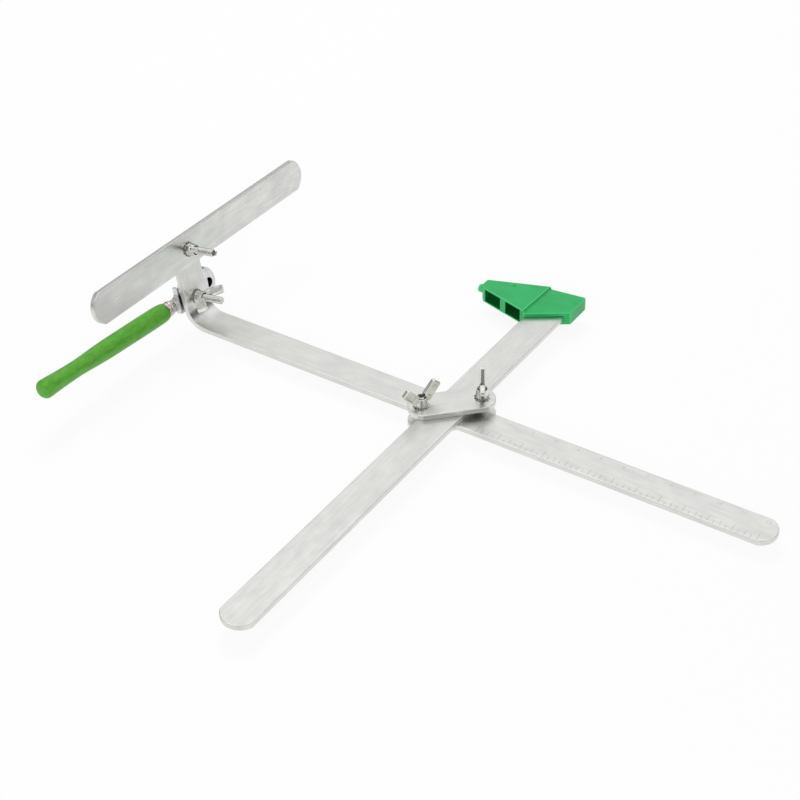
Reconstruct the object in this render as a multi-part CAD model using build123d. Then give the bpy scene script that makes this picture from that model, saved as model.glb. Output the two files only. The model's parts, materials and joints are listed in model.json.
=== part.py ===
from build123d import *
from math import cos, radians, sin, sqrt, tan
import os

# A glass bottle cutter: two flat arms crossed under a bolted clamp, a scoring tool and a rest bar
# on the bent-up end of the ruler arm, and a moulded corner guide on the end of the cross arm.
# Working frame: the arms cross at x = y = 0, the ruler arm runs along X and the cross arm along Y,
# and z = 0 is the plane where the two arms touch. The finished pieces are moved at the end, so
# that the origin is the middle of the footprint, level with the undersides of the clamp bolts.

# Flat bar stock, shared by both arms, the rest bar and the clamp plates
bar_width = 18.0
bar_thickness = 3.0
bar_end_radius = 9.8
bar_edge_break = 0.35

# Ruler arm, with its end bent up into a tab that leans outwards
ruler_right_reach = 178.3
tab_foot_x = -160.5
tab_lean = 10.8
tab_top_height = 47.4
bend_inner_radius = 9.9

# Cross arm
cross_arm_length = 300.0
cross_arm_front_reach = 186.0

# Clamp
clamp_plate_length = 45.4
bolt_side_clearance = 0.17

# Rest bar
rest_bar_length = 177.0
rest_bar_front_length = 75.3
rest_bolt_height = 41.4
rest_bar_tilt = -1.4

# Hexagon bolts, toothed washers and the plain spacer
bolt_diameter = 4.0
clamp_bolt_length = 18.0
rest_bolt_length = 23.4
cutter_bolt_length = 25.0
bolt_head_across_flats = 7.0
bolt_head_height = 2.8
bolt_end_chamfer = 0.5
bolt_head_chamfer = 0.4
bolt_hole_clearance = 0.08
washer_diameter = 8.4
washer_thickness = 0.8
washer_tooth_depth = 0.9
washer_tooth_count = 14
washer_tooth_width_share = 0.5
spacer_diameter = 9.0
spacer_thickness = 1.0

# Wing nuts
nut_bore_clearance = 0.06
nut_base_diameter = 7.0
nut_top_diameter = 6.0
nut_hub_height = 4.4
ear_tip_radius = 9.8
ear_tip_height = 10.7
ear_root_radius = 2.4
ear_root_height = 2.7
ear_width = 5.6
ear_root_thickness = 2.9
ear_tip_thickness = 2.1
ear_corner_radius = 1.3
ear_edge_round = 0.4
ear_panel_margin = 1.25
ear_panel_depth = 0.35
ear_panel_start = 1.6
clamp_nut_left_turn = 69.0
clamp_nut_right_turn = 121.6
rest_nut_turn = -34.0
cutter_nut_turn = 9.0

# Scoring tool: steel head
cutter_bolt_height = 12.1
cutter_tilt = 4.1
head_thickness = 3.2
shank_bottom_depth = 6.7
shank_top_height = 3.6
shank_rear_reach = 10.2
head_tip_radius = 10.6
head_tip_offset = 9.95
head_tip_rise = 1.0
head_neck_round = 2.4
notch_widths = (2.7, 3.4, 4.2)
notch_depth = 4.8
tooth_width = 1.5
rear_tooth_width = 1.5
notch_floor_round = 0.7
heel_offset = 13.9
heel_depth = 1.7
neck_length = 4.0
neck_half_height = 3.1
neck_flare = 2.4
window_radius = 2.8
window_offset = 15.3
window_rise = 0.9
window_flat_inset = 0.8
window_depth = 2.6
tang_length = 34.0
tang_root_width = 5.2
tang_tip_width = 3.2
tang_clearance = 0.1

# Scoring wheel and its pin
wheel_diameter = 5.4
wheel_thickness = 1.0
wheel_hub_thickness = 0.8
wheel_edge_angle = 120.0
wheel_proud = 0.8
wheel_direction = -50.0
wheel_slot_clearance = 0.12
wheel_rim_clearance = 0.35
wheel_pin_diameter = 1.4
wheel_bore_clearance = 0.03

# Ferrule and wooden handle, measured back from the neck of the head
handle_axis_drop = 0.45
ferrule_front_radius = 3.4
ferrule_cone_length = 2.4
ferrule_cone_radius = 4.1
ferrule_body_radius = 4.3
ferrule_length = 7.4
ferrule_groove_offset = 3.6
ferrule_groove_width = 0.9
ferrule_groove_depth = 0.35
ferrule_wall = 0.6
ferrule_front_wall = 2.2
ferrule_fit_clearance = 0.05
handle_length = 94.8
handle_largest_radius = 5.35
handle_butt_round = 3.0
handle_station_shares = (
    0.0, 0.013, 0.046, 0.15, 0.32, 0.44, 0.51, 0.585, 0.66, 0.72, 0.785, 0.87, 0.93, 1.0
)
handle_radius_shares = (
    0.9, 0.945, 0.985, 1.0, 0.99, 0.98, 0.96, 0.91, 0.85, 0.818, 0.83, 0.88, 0.93, 0.96
)

# Corner guide: a moulded sleeve over the end of the cross arm, with a raised wedge on its left
guide_arm_clearance = 0.12
guide_roof = 2.38
guide_floor = 2.0
guide_end_gap = 0.4
guide_right_wall = 3.5
guide_back_wall = 2.2
guide_front_angle = 33.6
guide_back_angle = 7.0
guide_right_length = 17.2
wedge_step_x = -8.6
wedge_step_back_x = -7.4
wedge_step_height = 1.7
wedge_step_run = 1.0
wedge_span = 32.6
wedge_front_angle = -14.9
wedge_back_angle = 20.4
wedge_tip_chamfer = 2.0
guide_corner_round = 1.0
pocket_wall = 1.0
pocket_tip_wall = 1.6
pocket_roof = 0.9
pocket_inner_wall = 2.6
pocket_rib = 3.9
pocket_back_wall = 1.6
pocket_first_share = 0.51
nub_diameter = 4.6
nub_length = 2.9
nub_edge_round = 0.9
nub_centre_height = 3.0
nub_back_distance = 3.7
gate_mark_diameter = 1.9
gate_mark_height = 0.5
gate_mark_x = -26.0
gate_mark_share = 0.84
side_mark_diameter = 1.8
side_mark_height = 0.5
side_mark_z = 1.0

# Shared by all cuts: how far a cutting solid runs past the face it cuts
overrun = 1.0

# Derived places
half_width = bar_width / 2
bar_end_sagitta = bar_end_radius - sqrt(bar_end_radius**2 - half_width**2)
bolt_radius = bolt_diameter / 2
bolt_hole_radius = bolt_radius + bolt_hole_clearance
clamp_bolt_offset = half_width + bolt_radius + bolt_side_clearance
clamp_plate_turn = 45.0
clamp_seat_z = 2 * bar_thickness
clamp_head_z = -2 * bar_thickness
cross_arm_back_reach = cross_arm_length - cross_arm_front_reach
bend_angle = 90.0 - tab_lean
bend_tangent = bend_inner_radius * tan(radians(bend_angle / 2))
head_mid_offset = -bar_thickness - spacer_thickness - head_thickness / 2
head_back_offset = -bar_thickness - spacer_thickness - head_thickness
neck_rear_reach = shank_rear_reach + neck_length


# The tab's own frame: x across the tab, y up the tab, z out of its inner face
tab_normal = Vector(cos(radians(tab_lean)), 0, sin(radians(tab_lean)))
tab_plane = Plane(origin=(tab_foot_x, 0, 0), x_dir=(0, 1, 0), z_dir=tab_normal)


def tab_point(across, up, out):
    return tab_plane.from_local_coords(Vector(across, up, out))


def tab_direction(turn):
    """Direction in the tab's face, turned from the tab's x towards its y."""
    end = tab_plane.from_local_coords(Vector(cos(radians(turn)), sin(radians(turn)), 0))
    return end - tab_plane.origin


def axis_plane(point, turn_direction, axis):
    return Plane(origin=point, x_dir=turn_direction, z_dir=axis)


# Bars and plates
def bar_outline(start, end, round_start):
    """Strip along X with a rounded far end and, if asked, a rounded near end."""
    near = start + bar_end_sagitta if round_start else start
    far = end - bar_end_sagitta
    edges = [
        Line((near, half_width), (far, half_width)),
        ThreePointArc((far, half_width), (end, 0), (far, -half_width)),
        Line((far, -half_width), (near, -half_width)),
    ]
    if round_start:
        edges.append(ThreePointArc((near, -half_width), (start, 0), (near, half_width)))
    else:
        edges.append(Line((near, -half_width), (near, half_width)))
    return make_face(edges)


def bar_blank(start, end, round_start=True):
    """Bar of the shared stock with its sharp edges broken, underside at z = 0."""
    blank = extrude(bar_outline(start, end, round_start), bar_thickness)
    faces = blank.faces().filter_by(Axis.Z)
    edges = faces.edges()
    if not round_start:
        edges = edges.filter_by(lambda edge: edge.center().X > start + bar_edge_break)
    return chamfer(edges, bar_edge_break)


def bar_hole(x, y=0):
    tool = Cylinder(bolt_hole_radius, bar_thickness + 2 * overrun)
    return Pos(x, y, bar_thickness / 2) * tool


def bend():
    """Quarter-turn bend between the ruler arm and its tab."""
    section_plane = Plane(
        origin=(tab_foot_x + bend_tangent, 0, -bar_thickness / 2), x_dir=(0, 1, 0), z_dir=(1, 0, 0)
    )
    section = Rectangle(bar_width, bar_thickness)
    section = chamfer(section.vertices(), bar_edge_break)
    centre_line = Axis((tab_foot_x + bend_tangent, 0, bend_inner_radius), (0, 1, 0))
    return revolve(section_plane * section, centre_line, bend_angle)


def ruler_arm():
    flat = bar_blank(0, ruler_right_reach - tab_foot_x - bend_tangent, round_start=False)
    flat = Pos(tab_foot_x + bend_tangent, 0, -bar_thickness) * flat
    tab = bar_blank(bend_tangent, tab_top_height, round_start=False)
    tab -= bar_hole(rest_bolt_height)
    tab -= bar_hole(cutter_bolt_height)
    upright = Plane(
        origin=tab_point(0, 0, -bar_thickness), x_dir=tab_direction(90), z_dir=tab_normal
    )
    return flat + bend() + upright * tab


def cross_arm():
    return Rot(0, 0, 90) * bar_blank(-cross_arm_front_reach, cross_arm_back_reach)


def clamp_plate(bottom_z):
    plate = bar_blank(-clamp_plate_length / 2, clamp_plate_length / 2)
    for side in (-1, 1):
        plate -= bar_hole(side * clamp_bolt_offset * sqrt(2))
    return Pos(0, 0, bottom_z) * Rot(0, 0, clamp_plate_turn) * plate


def rest_bar():
    bar = bar_blank(-rest_bar_front_length, rest_bar_length - rest_bar_front_length)
    bar -= bar_hole(0)
    seat = Plane(
        origin=tab_point(0, rest_bolt_height, 0),
        x_dir=tab_direction(rest_bar_tilt),
        z_dir=tab_normal,
    )
    return seat * bar


# Fasteners: each is made on the XY plane, with its axis along +Z, and then placed
def hex_bolt(length):
    """Hexagon-headed bolt; z = 0 is the underside of the head, the shank points up."""
    head = extrude(
        RegularPolygon(bolt_head_across_flats / 2, 6, major_radius=False), -bolt_head_height
    )
    corner_radius = bolt_head_across_flats / sqrt(3)
    dome = Cone(
        corner_radius - bolt_head_chamfer,
        corner_radius + bolt_head_height,
        bolt_head_height + bolt_head_chamfer,
    )
    head &= Pos(0, 0, (bolt_head_chamfer - bolt_head_height) / 2) * dome
    shank = Pos(0, 0, length / 2) * Cylinder(bolt_radius, length)
    shank = chamfer(shank.edges().sort_by(Axis.Z)[-1], bolt_end_chamfer)
    return head + shank


def toothed_washer():
    """Lock washer with square teeth round its rim, underside at z = 0."""
    root_radius = washer_diameter / 2 - washer_tooth_depth
    pitch = 2 * root_radius * sin(radians(180 / washer_tooth_count))
    tooth = Pos(washer_diameter / 2 - washer_tooth_depth, 0) * Rectangle(
        2 * washer_tooth_depth, pitch * washer_tooth_width_share
    )
    face = Circle(root_radius)
    for place in PolarLocations(0, washer_tooth_count):
        face += place * tooth
    face -= Circle(bolt_hole_radius)
    return extrude(face, washer_thickness)


def plain_washer():
    return extrude(Circle(spacer_diameter / 2) - Circle(bolt_hole_radius), spacer_thickness)


def ear_line():
    """Line along the middle of one ear, from its root in the hub to its tip."""
    return Line((ear_root_radius, ear_root_height), (ear_tip_radius, ear_tip_height))


def lean_along_ear(shape):
    """Turn a shape, drawn along X from the ear's root, to the ear's own slope."""
    line = ear_line()
    lean = line.tangent_at(0).get_angle(Vector(1, 0, 0))
    return Pos(line.position_at(0)) * Rot(0, 0, lean) * shape


def ear_outline():
    """Side view of one ear: a straight blade that rises outwards from the hub."""
    length = ear_line().length
    blade = Pos(length / 2, 0) * Rectangle(length, ear_width)
    tip_corners = blade.vertices().sort_by(Axis.X)[-2:]
    return lean_along_ear(fillet(tip_corners, ear_corner_radius))


def ear_panel():
    """Sunk panel of an ear, inside the rim of its outline."""
    start = ear_panel_start + nut_base_diameter / 2 - ear_root_radius
    panel_length = ear_line().length - ear_panel_margin - start
    panel = Rectangle(panel_length, ear_width - 2 * ear_panel_margin)
    panel = fillet(panel.vertices(), ear_panel_margin / 2)
    return lean_along_ear(Pos(start + panel_length / 2, 0) * panel)


def ear():
    """One ear in the XZ plane, thinner towards its tip, with its edges rounded."""
    blade = extrude(Plane.XZ * ear_outline(), ear_root_thickness / 2, both=True)
    taper = Polyline(
        (0, ear_root_thickness / 2),
        (ear_root_radius, ear_root_thickness / 2),
        (ear_tip_radius + ear_width, ear_tip_thickness / 2),
        (ear_tip_radius + ear_width, -ear_tip_thickness / 2),
        (ear_root_radius, -ear_root_thickness / 2),
        (0, -ear_root_thickness / 2),
        close=True,
    )
    blade &= extrude(make_face(taper), ear_tip_height + ear_width)
    outer_edges = blade.edges().filter_by(
        lambda edge: edge.center().X > nut_base_diameter / 2 + ear_edge_round
    )
    blade = fillet(outer_edges, ear_edge_round)
    mid_thickness = (ear_root_thickness + ear_tip_thickness) / 2
    panel = extrude(Plane.XZ * ear_panel(), ear_root_thickness / 2, both=True)
    panel_middle = (mid_thickness + ear_root_thickness) / 2 - ear_panel_depth
    for side in (-1, 1):
        blade -= Pos(0, side * panel_middle, 0) * panel
    return blade


def wing_nut():
    """Wing nut with its seat at z = 0 and its ears along +X and -X."""
    hub = Pos(0, 0, nut_hub_height / 2) * Cone(
        nut_base_diameter / 2, nut_top_diameter / 2, nut_hub_height
    )
    one_ear = ear()
    nut = hub + one_ear + Rot(0, 0, 180) * one_ear
    bore_length = ear_tip_height + ear_width
    bore = Pos(0, 0, bore_length / 2 - overrun) * Cylinder(
        bolt_radius + nut_bore_clearance, bore_length + overrun
    )
    nut -= bore
    floor = Pos(0, 0, -bore_length / 2) * Box(
        2 * bore_length + bar_width, nut_base_diameter, bore_length
    )
    return nut - floor


# Scoring tool: made in its own plane, x towards the tip, y up, z out of the tab's inner face
def notch_starts():
    """Left side of each breaking notch, counted from the rear tooth."""
    starts = []
    left = rear_tooth_width - shank_rear_reach
    for width in notch_widths:
        starts.append(left)
        left += width + tooth_width
    return starts


def head_outline():
    """Flat steel head: shank, row of breaking notches on the top edge and a round tip."""
    top = shank_top_height + notch_depth
    shank = make_face(
        Polyline(
            (-shank_rear_reach, -shank_bottom_depth),
            (head_tip_offset, -shank_bottom_depth),
            (head_tip_offset, top),
            (-shank_rear_reach, top),
            close=True,
        )
    )
    neck = Pos(-shank_rear_reach - neck_length / 2, -handle_axis_drop) * Rectangle(
        neck_length, 2 * neck_half_height
    )
    outline = shank + neck
    flare = outline.vertices().filter_by(
        lambda corner: 0 < corner.Y < top and corner.X < overrun - shank_rear_reach
    )
    outline = fillet(flare.sort_by(Axis.X)[-1], neck_flare)
    outline += Pos(head_tip_offset, head_tip_rise) * Circle(head_tip_radius)
    throat = outline.vertices().filter_by(
        lambda corner: corner.Y < -shank_bottom_depth + overrun and 0 < corner.X < head_tip_offset
    )
    outline = fillet(throat, head_neck_round)
    for start, width in zip(notch_starts(), notch_widths):
        notch = Pos(start + width / 2, shank_top_height + notch_depth) * Rectangle(
            width, 2 * notch_depth
        )
        notch = fillet(notch.vertices().sort_by(Axis.Y)[:2], notch_floor_round)
        outline -= notch
    heel_cut_height = heel_depth + overrun
    heel_cut = Rectangle(2 * head_tip_radius, heel_cut_height)
    heel_floor = head_tip_rise + head_tip_radius - heel_depth
    outline -= Pos(heel_offset - head_tip_radius, heel_floor + heel_cut_height / 2) * heel_cut
    return outline


def window_outline():
    """D-shaped recess in the tip: a circle cut off by a flat on its rear side."""
    flat_x = window_offset - window_flat_inset
    flat_side = Pos(flat_x + window_radius, window_rise) * Rectangle(
        2 * window_radius, 2 * window_radius
    )
    return Pos(window_offset, window_rise) * Circle(window_radius) & flat_side


def tang_outline(clearance):
    """Tapered tang that runs back from the head through the ferrule into the handle."""
    root = tang_root_width / 2 + clearance
    tip = tang_tip_width / 2 + clearance
    rear = -neck_rear_reach - tang_length - clearance
    return Pos(0, -handle_axis_drop) * make_face(
        Polyline(
            (-neck_rear_reach, root),
            (-neck_rear_reach, -root),
            (rear, -tip),
            (rear, tip),
            close=True,
        )
    )


def wheel_centre():
    reach = head_tip_radius + wheel_proud - wheel_diameter / 2
    return Vector(
        head_tip_offset + reach * cos(radians(wheel_direction)),
        head_tip_rise + reach * sin(radians(wheel_direction)),
        0,
    )


def cutter_head():
    head = extrude(head_outline(), head_thickness / 2, both=True)
    head += extrude(tang_outline(0), head_thickness / 2, both=True)
    head -= Cylinder(bolt_hole_radius, head_thickness + 2 * overrun)
    window_floor = Pos(0, 0, head_thickness / 2 - window_depth)
    head -= window_floor * extrude(window_outline(), window_depth + overrun)
    slot_radius = wheel_diameter / 2 + wheel_rim_clearance
    slot_width = wheel_thickness + 2 * wheel_slot_clearance
    slot = Cylinder(slot_radius, slot_width)
    mouth = Pos(wheel_diameter, 0) * Box(2 * wheel_diameter, 2 * slot_radius, slot_width)
    slot += Rot(0, 0, wheel_direction) * mouth
    pin_hole = Cylinder(wheel_pin_diameter / 2, head_thickness + 2 * overrun)
    return head - Pos(wheel_centre()) * (slot + pin_hole)


def scoring_wheel():
    """Small hard wheel with a V-shaped rim."""
    rim = wheel_diameter / 2
    bore = wheel_pin_diameter / 2 + wheel_bore_clearance
    shoulder = rim - wheel_thickness / 2 / tan(radians(wheel_edge_angle / 2))
    profile = Polyline(
        (bore, -wheel_thickness / 2),
        (shoulder, -wheel_thickness / 2),
        (rim, 0),
        (shoulder, wheel_thickness / 2),
        (bore, wheel_thickness / 2),
        close=True,
    )
    wheel = revolve(Plane.XZ * make_face(profile), Axis.Z)
    dish = Cylinder(shoulder - wheel_thickness, wheel_thickness)
    dish -= Cylinder(bore + wheel_thickness / 2, wheel_thickness)
    dish_depth = (wheel_thickness - wheel_hub_thickness) / 2
    for side in (-1, 1):
        wheel -= Pos(0, 0, side * (wheel_thickness - dish_depth)) * dish
    return Pos(wheel_centre()) * wheel


def wheel_pin():
    return Pos(wheel_centre()) * Cylinder(wheel_pin_diameter / 2, head_thickness)


def handle_place():
    return Pos(-neck_rear_reach, -handle_axis_drop, 0) * Rot(0, 0, 180)


def spin_about_handle(profile):
    """Turn a profile, drawn backwards from the neck of the head, about the handle's line."""
    body = revolve(profile, Axis.X)
    return handle_place() * body


def tang_pocket():
    return extrude(tang_outline(tang_clearance), head_thickness / 2 + tang_clearance, both=True)


def ferrule():
    """Pressed metal sleeve with a coned nose and a rolled groove."""
    groove_start = ferrule_groove_offset
    groove_end = ferrule_groove_offset + ferrule_groove_width
    groove_radius = ferrule_body_radius - ferrule_groove_depth
    bore = ferrule_body_radius - ferrule_wall
    profile = Polyline(
        (0, 0),
        (0, ferrule_front_radius),
        (ferrule_cone_length, ferrule_cone_radius),
        (groove_start, ferrule_body_radius),
        ((groove_start + groove_end) / 2, groove_radius),
        (groove_end, ferrule_body_radius),
        (ferrule_length, ferrule_body_radius),
        (ferrule_length, bore),
        (ferrule_front_wall, bore),
        (ferrule_front_wall, 0),
        close=True,
    )
    return spin_about_handle(make_face(profile)) - tang_pocket()


def handle():
    """Turned wooden handle: full at the front, waisted, and swelling again to a round butt."""
    spigot_radius = ferrule_body_radius - ferrule_wall - ferrule_fit_clearance
    spigot_start = ferrule_front_wall + ferrule_fit_clearance
    stations = [
        (ferrule_length + share * handle_length, handle_largest_radius * radius_share)
        for share, radius_share in zip(handle_station_shares, handle_radius_shares)
    ]
    butt = ferrule_length + handle_length
    outline = [
        Line((spigot_start, 0), (spigot_start, spigot_radius)),
        Line((spigot_start, spigot_radius), (ferrule_length, spigot_radius)),
        Line((ferrule_length, spigot_radius), stations[0]),
        Spline(*stations),
        Line(stations[-1], (butt, 0)),
        Line((butt, 0), (spigot_start, 0)),
    ]
    body = revolve(make_face(outline), Axis.X)
    body = fillet(body.faces().sort_by(Axis.X)[-1].edges(), handle_butt_round)
    return handle_place() * body - tang_pocket()


# Corner guide: made in the working frame, on the end of the cross arm
def guide_levels():
    """Underside, sleeve top and wedge top."""
    bottom = -guide_arm_clearance - guide_floor
    sleeve_top = bar_thickness + guide_arm_clearance + guide_roof
    return bottom, sleeve_top, sleeve_top + wedge_step_height


def guide_back_y(x):
    """Back edge of the sleeve at a given x."""
    middle = cross_arm_back_reach + guide_end_gap + guide_back_wall
    return middle + x * tan(radians(guide_back_angle))


def guide_front_y(x):
    """Slanting front edge of the sleeve at a given x."""
    right = half_width + guide_right_wall
    front_right = guide_back_y(right) - guide_right_length
    return front_right - (right - x) * tan(radians(guide_front_angle))


def wedge_front_y(x):
    return guide_front_y(wedge_step_x) + (x - wedge_step_x) * tan(radians(wedge_front_angle))


def wedge_back_y(x):
    rise = (x - wedge_step_back_x) * tan(radians(wedge_back_angle))
    return guide_back_y(wedge_step_back_x) + rise


def wedge_tip_x():
    return wedge_step_x - wedge_span


def wedge_outline():
    """Plan of the raised wedge on the left of the sleeve, with its front corner cut off."""
    tip = wedge_tip_x()
    front_tip = (tip + wedge_tip_chamfer, wedge_front_y(tip + wedge_tip_chamfer))
    side_tip = (tip, wedge_front_y(tip) + wedge_tip_chamfer)
    return make_face(
        Polyline(
            (wedge_step_x, wedge_front_y(wedge_step_x)),
            front_tip,
            side_tip,
            (tip, wedge_back_y(tip)),
            (wedge_step_back_x, wedge_back_y(wedge_step_back_x)),
            close=True,
        )
    )


def sleeve_outline():
    right = half_width + guide_right_wall
    return make_face(
        Polyline(
            (wedge_step_x, guide_front_y(wedge_step_x)),
            (right, guide_front_y(right)),
            (right, guide_back_y(right)),
            (wedge_step_back_x, guide_back_y(wedge_step_back_x)),
            close=True,
        )
    )


def step_ramp():
    """Space over the sloping step, along the slanting line where the wedge meets the sleeve."""
    front = Vector(wedge_step_x, wedge_front_y(wedge_step_x))
    back = Vector(wedge_step_back_x, wedge_back_y(wedge_step_back_x))
    along = back - front
    section = make_face(
        Polyline(
            (-wedge_step_run, wedge_step_height + overrun),
            (-wedge_step_run, wedge_step_height),
            (0, 0),
            (overrun, 0),
            (overrun, wedge_step_height + overrun),
            close=True,
        )
    )
    across = Plane(origin=front, x_dir=along.cross(Vector(0, 0, 1)), z_dir=-along)
    return extrude(across * section, wedge_span, both=True)


def guide_body():
    """Sleeve and wedge before they are hollowed, with a sloping step between them."""
    bottom, sleeve_top, _ = guide_levels()
    body = extrude(sleeve_outline() + wedge_outline(), sleeve_top - bottom)
    upright = body.edges().filter_by(Axis.Z)
    right = half_width + guide_right_wall
    corners = upright.filter_by(
        lambda edge: edge.center().X > right - overrun or edge.center().X < wedge_tip_x() + overrun
    )
    body = Pos(0, 0, bottom) * fillet(corners, guide_corner_round)
    crown = extrude(wedge_outline(), wedge_step_height)
    crown_corners = crown.edges().filter_by(Axis.Z).filter_by(
        lambda edge: edge.center().X < wedge_tip_x() + overrun
    )
    crown = fillet(crown_corners, guide_corner_round)
    return body + Pos(0, 0, sleeve_top) * (crown - step_ramp())


def arm_slot():
    """Space in the sleeve for the end of the cross arm."""
    width = bar_width + 2 * guide_arm_clearance
    height = bar_thickness + 2 * guide_arm_clearance
    end = cross_arm_back_reach + guide_end_gap
    length = end - guide_front_y(-width)
    centre = Vector(0, end - length / 2, bar_thickness / 2)
    return Pos(centre) * Box(width, length, height)


def pocket_outline(left, right):
    """Plan of one pocket, open at the wedge's front and closed short of its back."""
    return make_face(
        Polyline(
            (left, wedge_front_y(left) - overrun),
            (right, wedge_front_y(right) - overrun),
            (right, wedge_back_y(right) - pocket_back_wall),
            (left, wedge_back_y(left) - pocket_back_wall),
            close=True,
        )
    )


def pocket_spans():
    """Left and right side of each of the two pockets."""
    left = wedge_tip_x() + wedge_tip_chamfer + pocket_tip_wall
    right = -half_width - guide_arm_clearance - pocket_inner_wall
    first_right = left + (right - left - pocket_rib) * pocket_first_share
    return (left, first_right), (first_right + pocket_rib, right)


def pocket_levels():
    levels = guide_levels()
    return levels[0] + pocket_wall, levels[-1] - pocket_roof


def corner_guide():
    """Moulded guide with its slot, its two pockets, the end nub and two small moulding marks."""
    wedge_top = guide_levels()[-1]
    body = guide_body() - arm_slot()
    low, high = pocket_levels()
    for left, right in pocket_spans():
        body -= Pos(0, 0, low) * extrude(pocket_outline(left, right), high - low)
    tip = wedge_tip_x()
    nub_y = wedge_back_y(tip) - nub_back_distance
    nub = Cylinder(nub_diameter / 2, nub_length + overrun)
    nub = fillet(nub.edges().sort_by(Axis.Z)[-1], nub_edge_round)
    nub_plane = Plane(
        origin=(tip - (nub_length - overrun) / 2, nub_y, nub_centre_height), z_dir=(-1, 0, 0)
    )
    body += nub_plane * nub
    gate_y = wedge_front_y(gate_mark_x) + gate_mark_share * (
        wedge_back_y(gate_mark_x) - wedge_front_y(gate_mark_x)
    )
    body += Pos(gate_mark_x, gate_y, wedge_top) * Cylinder(
        gate_mark_diameter / 2, 2 * gate_mark_height
    )
    mark_x = half_width + guide_right_wall / 2
    mark_plane = Plane(
        origin=(mark_x, guide_front_y(mark_x), side_mark_z),
        z_dir=(sin(radians(guide_front_angle)), -cos(radians(guide_front_angle)), 0),
    )
    body += mark_plane * Cylinder(side_mark_diameter / 2, 2 * side_mark_height)
    return body


# Assembly
def clamp_stack(name, side, turn):
    """Bolt, toothed washer and wing nut at one corner of the crossing."""
    x = side * clamp_bolt_offset
    direction = Vector(cos(radians(turn)), sin(radians(turn)), 0)
    up = Vector(0, 0, 1)
    head = axis_plane((x, x, clamp_head_z), direction, up)
    washer = axis_plane((x, x, clamp_seat_z), direction, up)
    nut = axis_plane((x, x, clamp_seat_z + washer_thickness), direction, up)
    return {
        f"clamp_bolt_{name}": head * hex_bolt(clamp_bolt_length),
        f"clamp_washer_{name}": washer * toothed_washer(),
        f"clamp_wing_nut_{name}": nut * wing_nut(),
    }


def tab_stack(name, length, height, head_offset, seat_offset, turn):
    """Bolt of a given length, toothed washer and wing nut through the tab."""
    direction = tab_direction(turn)
    head = axis_plane(tab_point(0, height, head_offset), direction, tab_normal)
    washer = axis_plane(tab_point(0, height, seat_offset), direction, tab_normal)
    nut_seat = seat_offset + washer_thickness
    nut = axis_plane(tab_point(0, height, nut_seat), direction, tab_normal)
    return {
        f"{name}_bolt": head * hex_bolt(length),
        f"{name}_washer": washer * toothed_washer(),
        f"{name}_wing_nut": nut * wing_nut(),
    }


def scoring_tool():
    place = axis_plane(
        tab_point(0, cutter_bolt_height, head_mid_offset), tab_direction(-cutter_tilt), tab_normal
    )
    return {
        "cutter_head": place * cutter_head(),
        "scoring_wheel": place * scoring_wheel(),
        "wheel_pin": place * wheel_pin(),
        "ferrule": place * ferrule(),
        "handle": place * handle(),
    }


def assembly():
    spacer_seat = tab_point(0, cutter_bolt_height, -bar_thickness - spacer_thickness)
    pieces = {
        "ruler_arm": ruler_arm(),
        "cross_arm": cross_arm(),
        "clamp_top_plate": clamp_plate(bar_thickness),
        "clamp_bottom_plate": clamp_plate(-2 * bar_thickness),
        "rest_bar": rest_bar(),
        "cutter_spacer": axis_plane(spacer_seat, tab_direction(0), tab_normal) * plain_washer(),
        "corner_guide": corner_guide(),
    }
    pieces.update(clamp_stack("left", -1, clamp_nut_left_turn))
    pieces.update(clamp_stack("right", 1, clamp_nut_right_turn))
    pieces.update(
        tab_stack(
            "rest", rest_bolt_length, rest_bolt_height, -bar_thickness, bar_thickness, rest_nut_turn
        )
    )
    pieces.update(
        tab_stack(
            "cutter", cutter_bolt_length, cutter_bolt_height, head_back_offset, 0, cutter_nut_turn
        )
    )
    pieces.update(scoring_tool())
    return pieces


def footprint_origin(pieces):
    """Middle of the footprint, level with the lowest point of the assembly."""
    box = Compound(children=[piece.solid() for piece in pieces.values()]).bounding_box()
    return Vector((box.min.X + box.max.X) / 2, (box.min.Y + box.max.Y) / 2, box.min.Z)


def main():
    os.makedirs("parts", exist_ok=True)
    pieces = assembly()
    origin = footprint_origin(pieces)
    for name, piece in pieces.items():
        export_step(Pos(-origin) * piece, f"parts/{name}.step")
    print("crossing point in the finished frame:", -origin)


if __name__ == "__main__":
    main()
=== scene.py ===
"""Looks of a glass bottle cutter: flat aluminium arms, zinc and nickel fasteners, a steel wheel scorer with a
green painted handle, and a green moulded corner guide.

Sizes are in millimetres and angles in degrees, unless the text says otherwise, and colours are sRGB hex codes.
"""
import json
import logging
import math
from abc import ABC, abstractmethod
from dataclasses import dataclass
from enum import Enum
from typing import Any, Iterable

import bmesh
import bpy
from bmesh.types import BMEdge, BMesh, BMVert
from bpy.types import ID, Material, Node, NodeOutputs, NodeSocket, NodeTree, Object
from mathutils import Matrix, Vector
from mathutils.bvhtree import BVHTree


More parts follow.
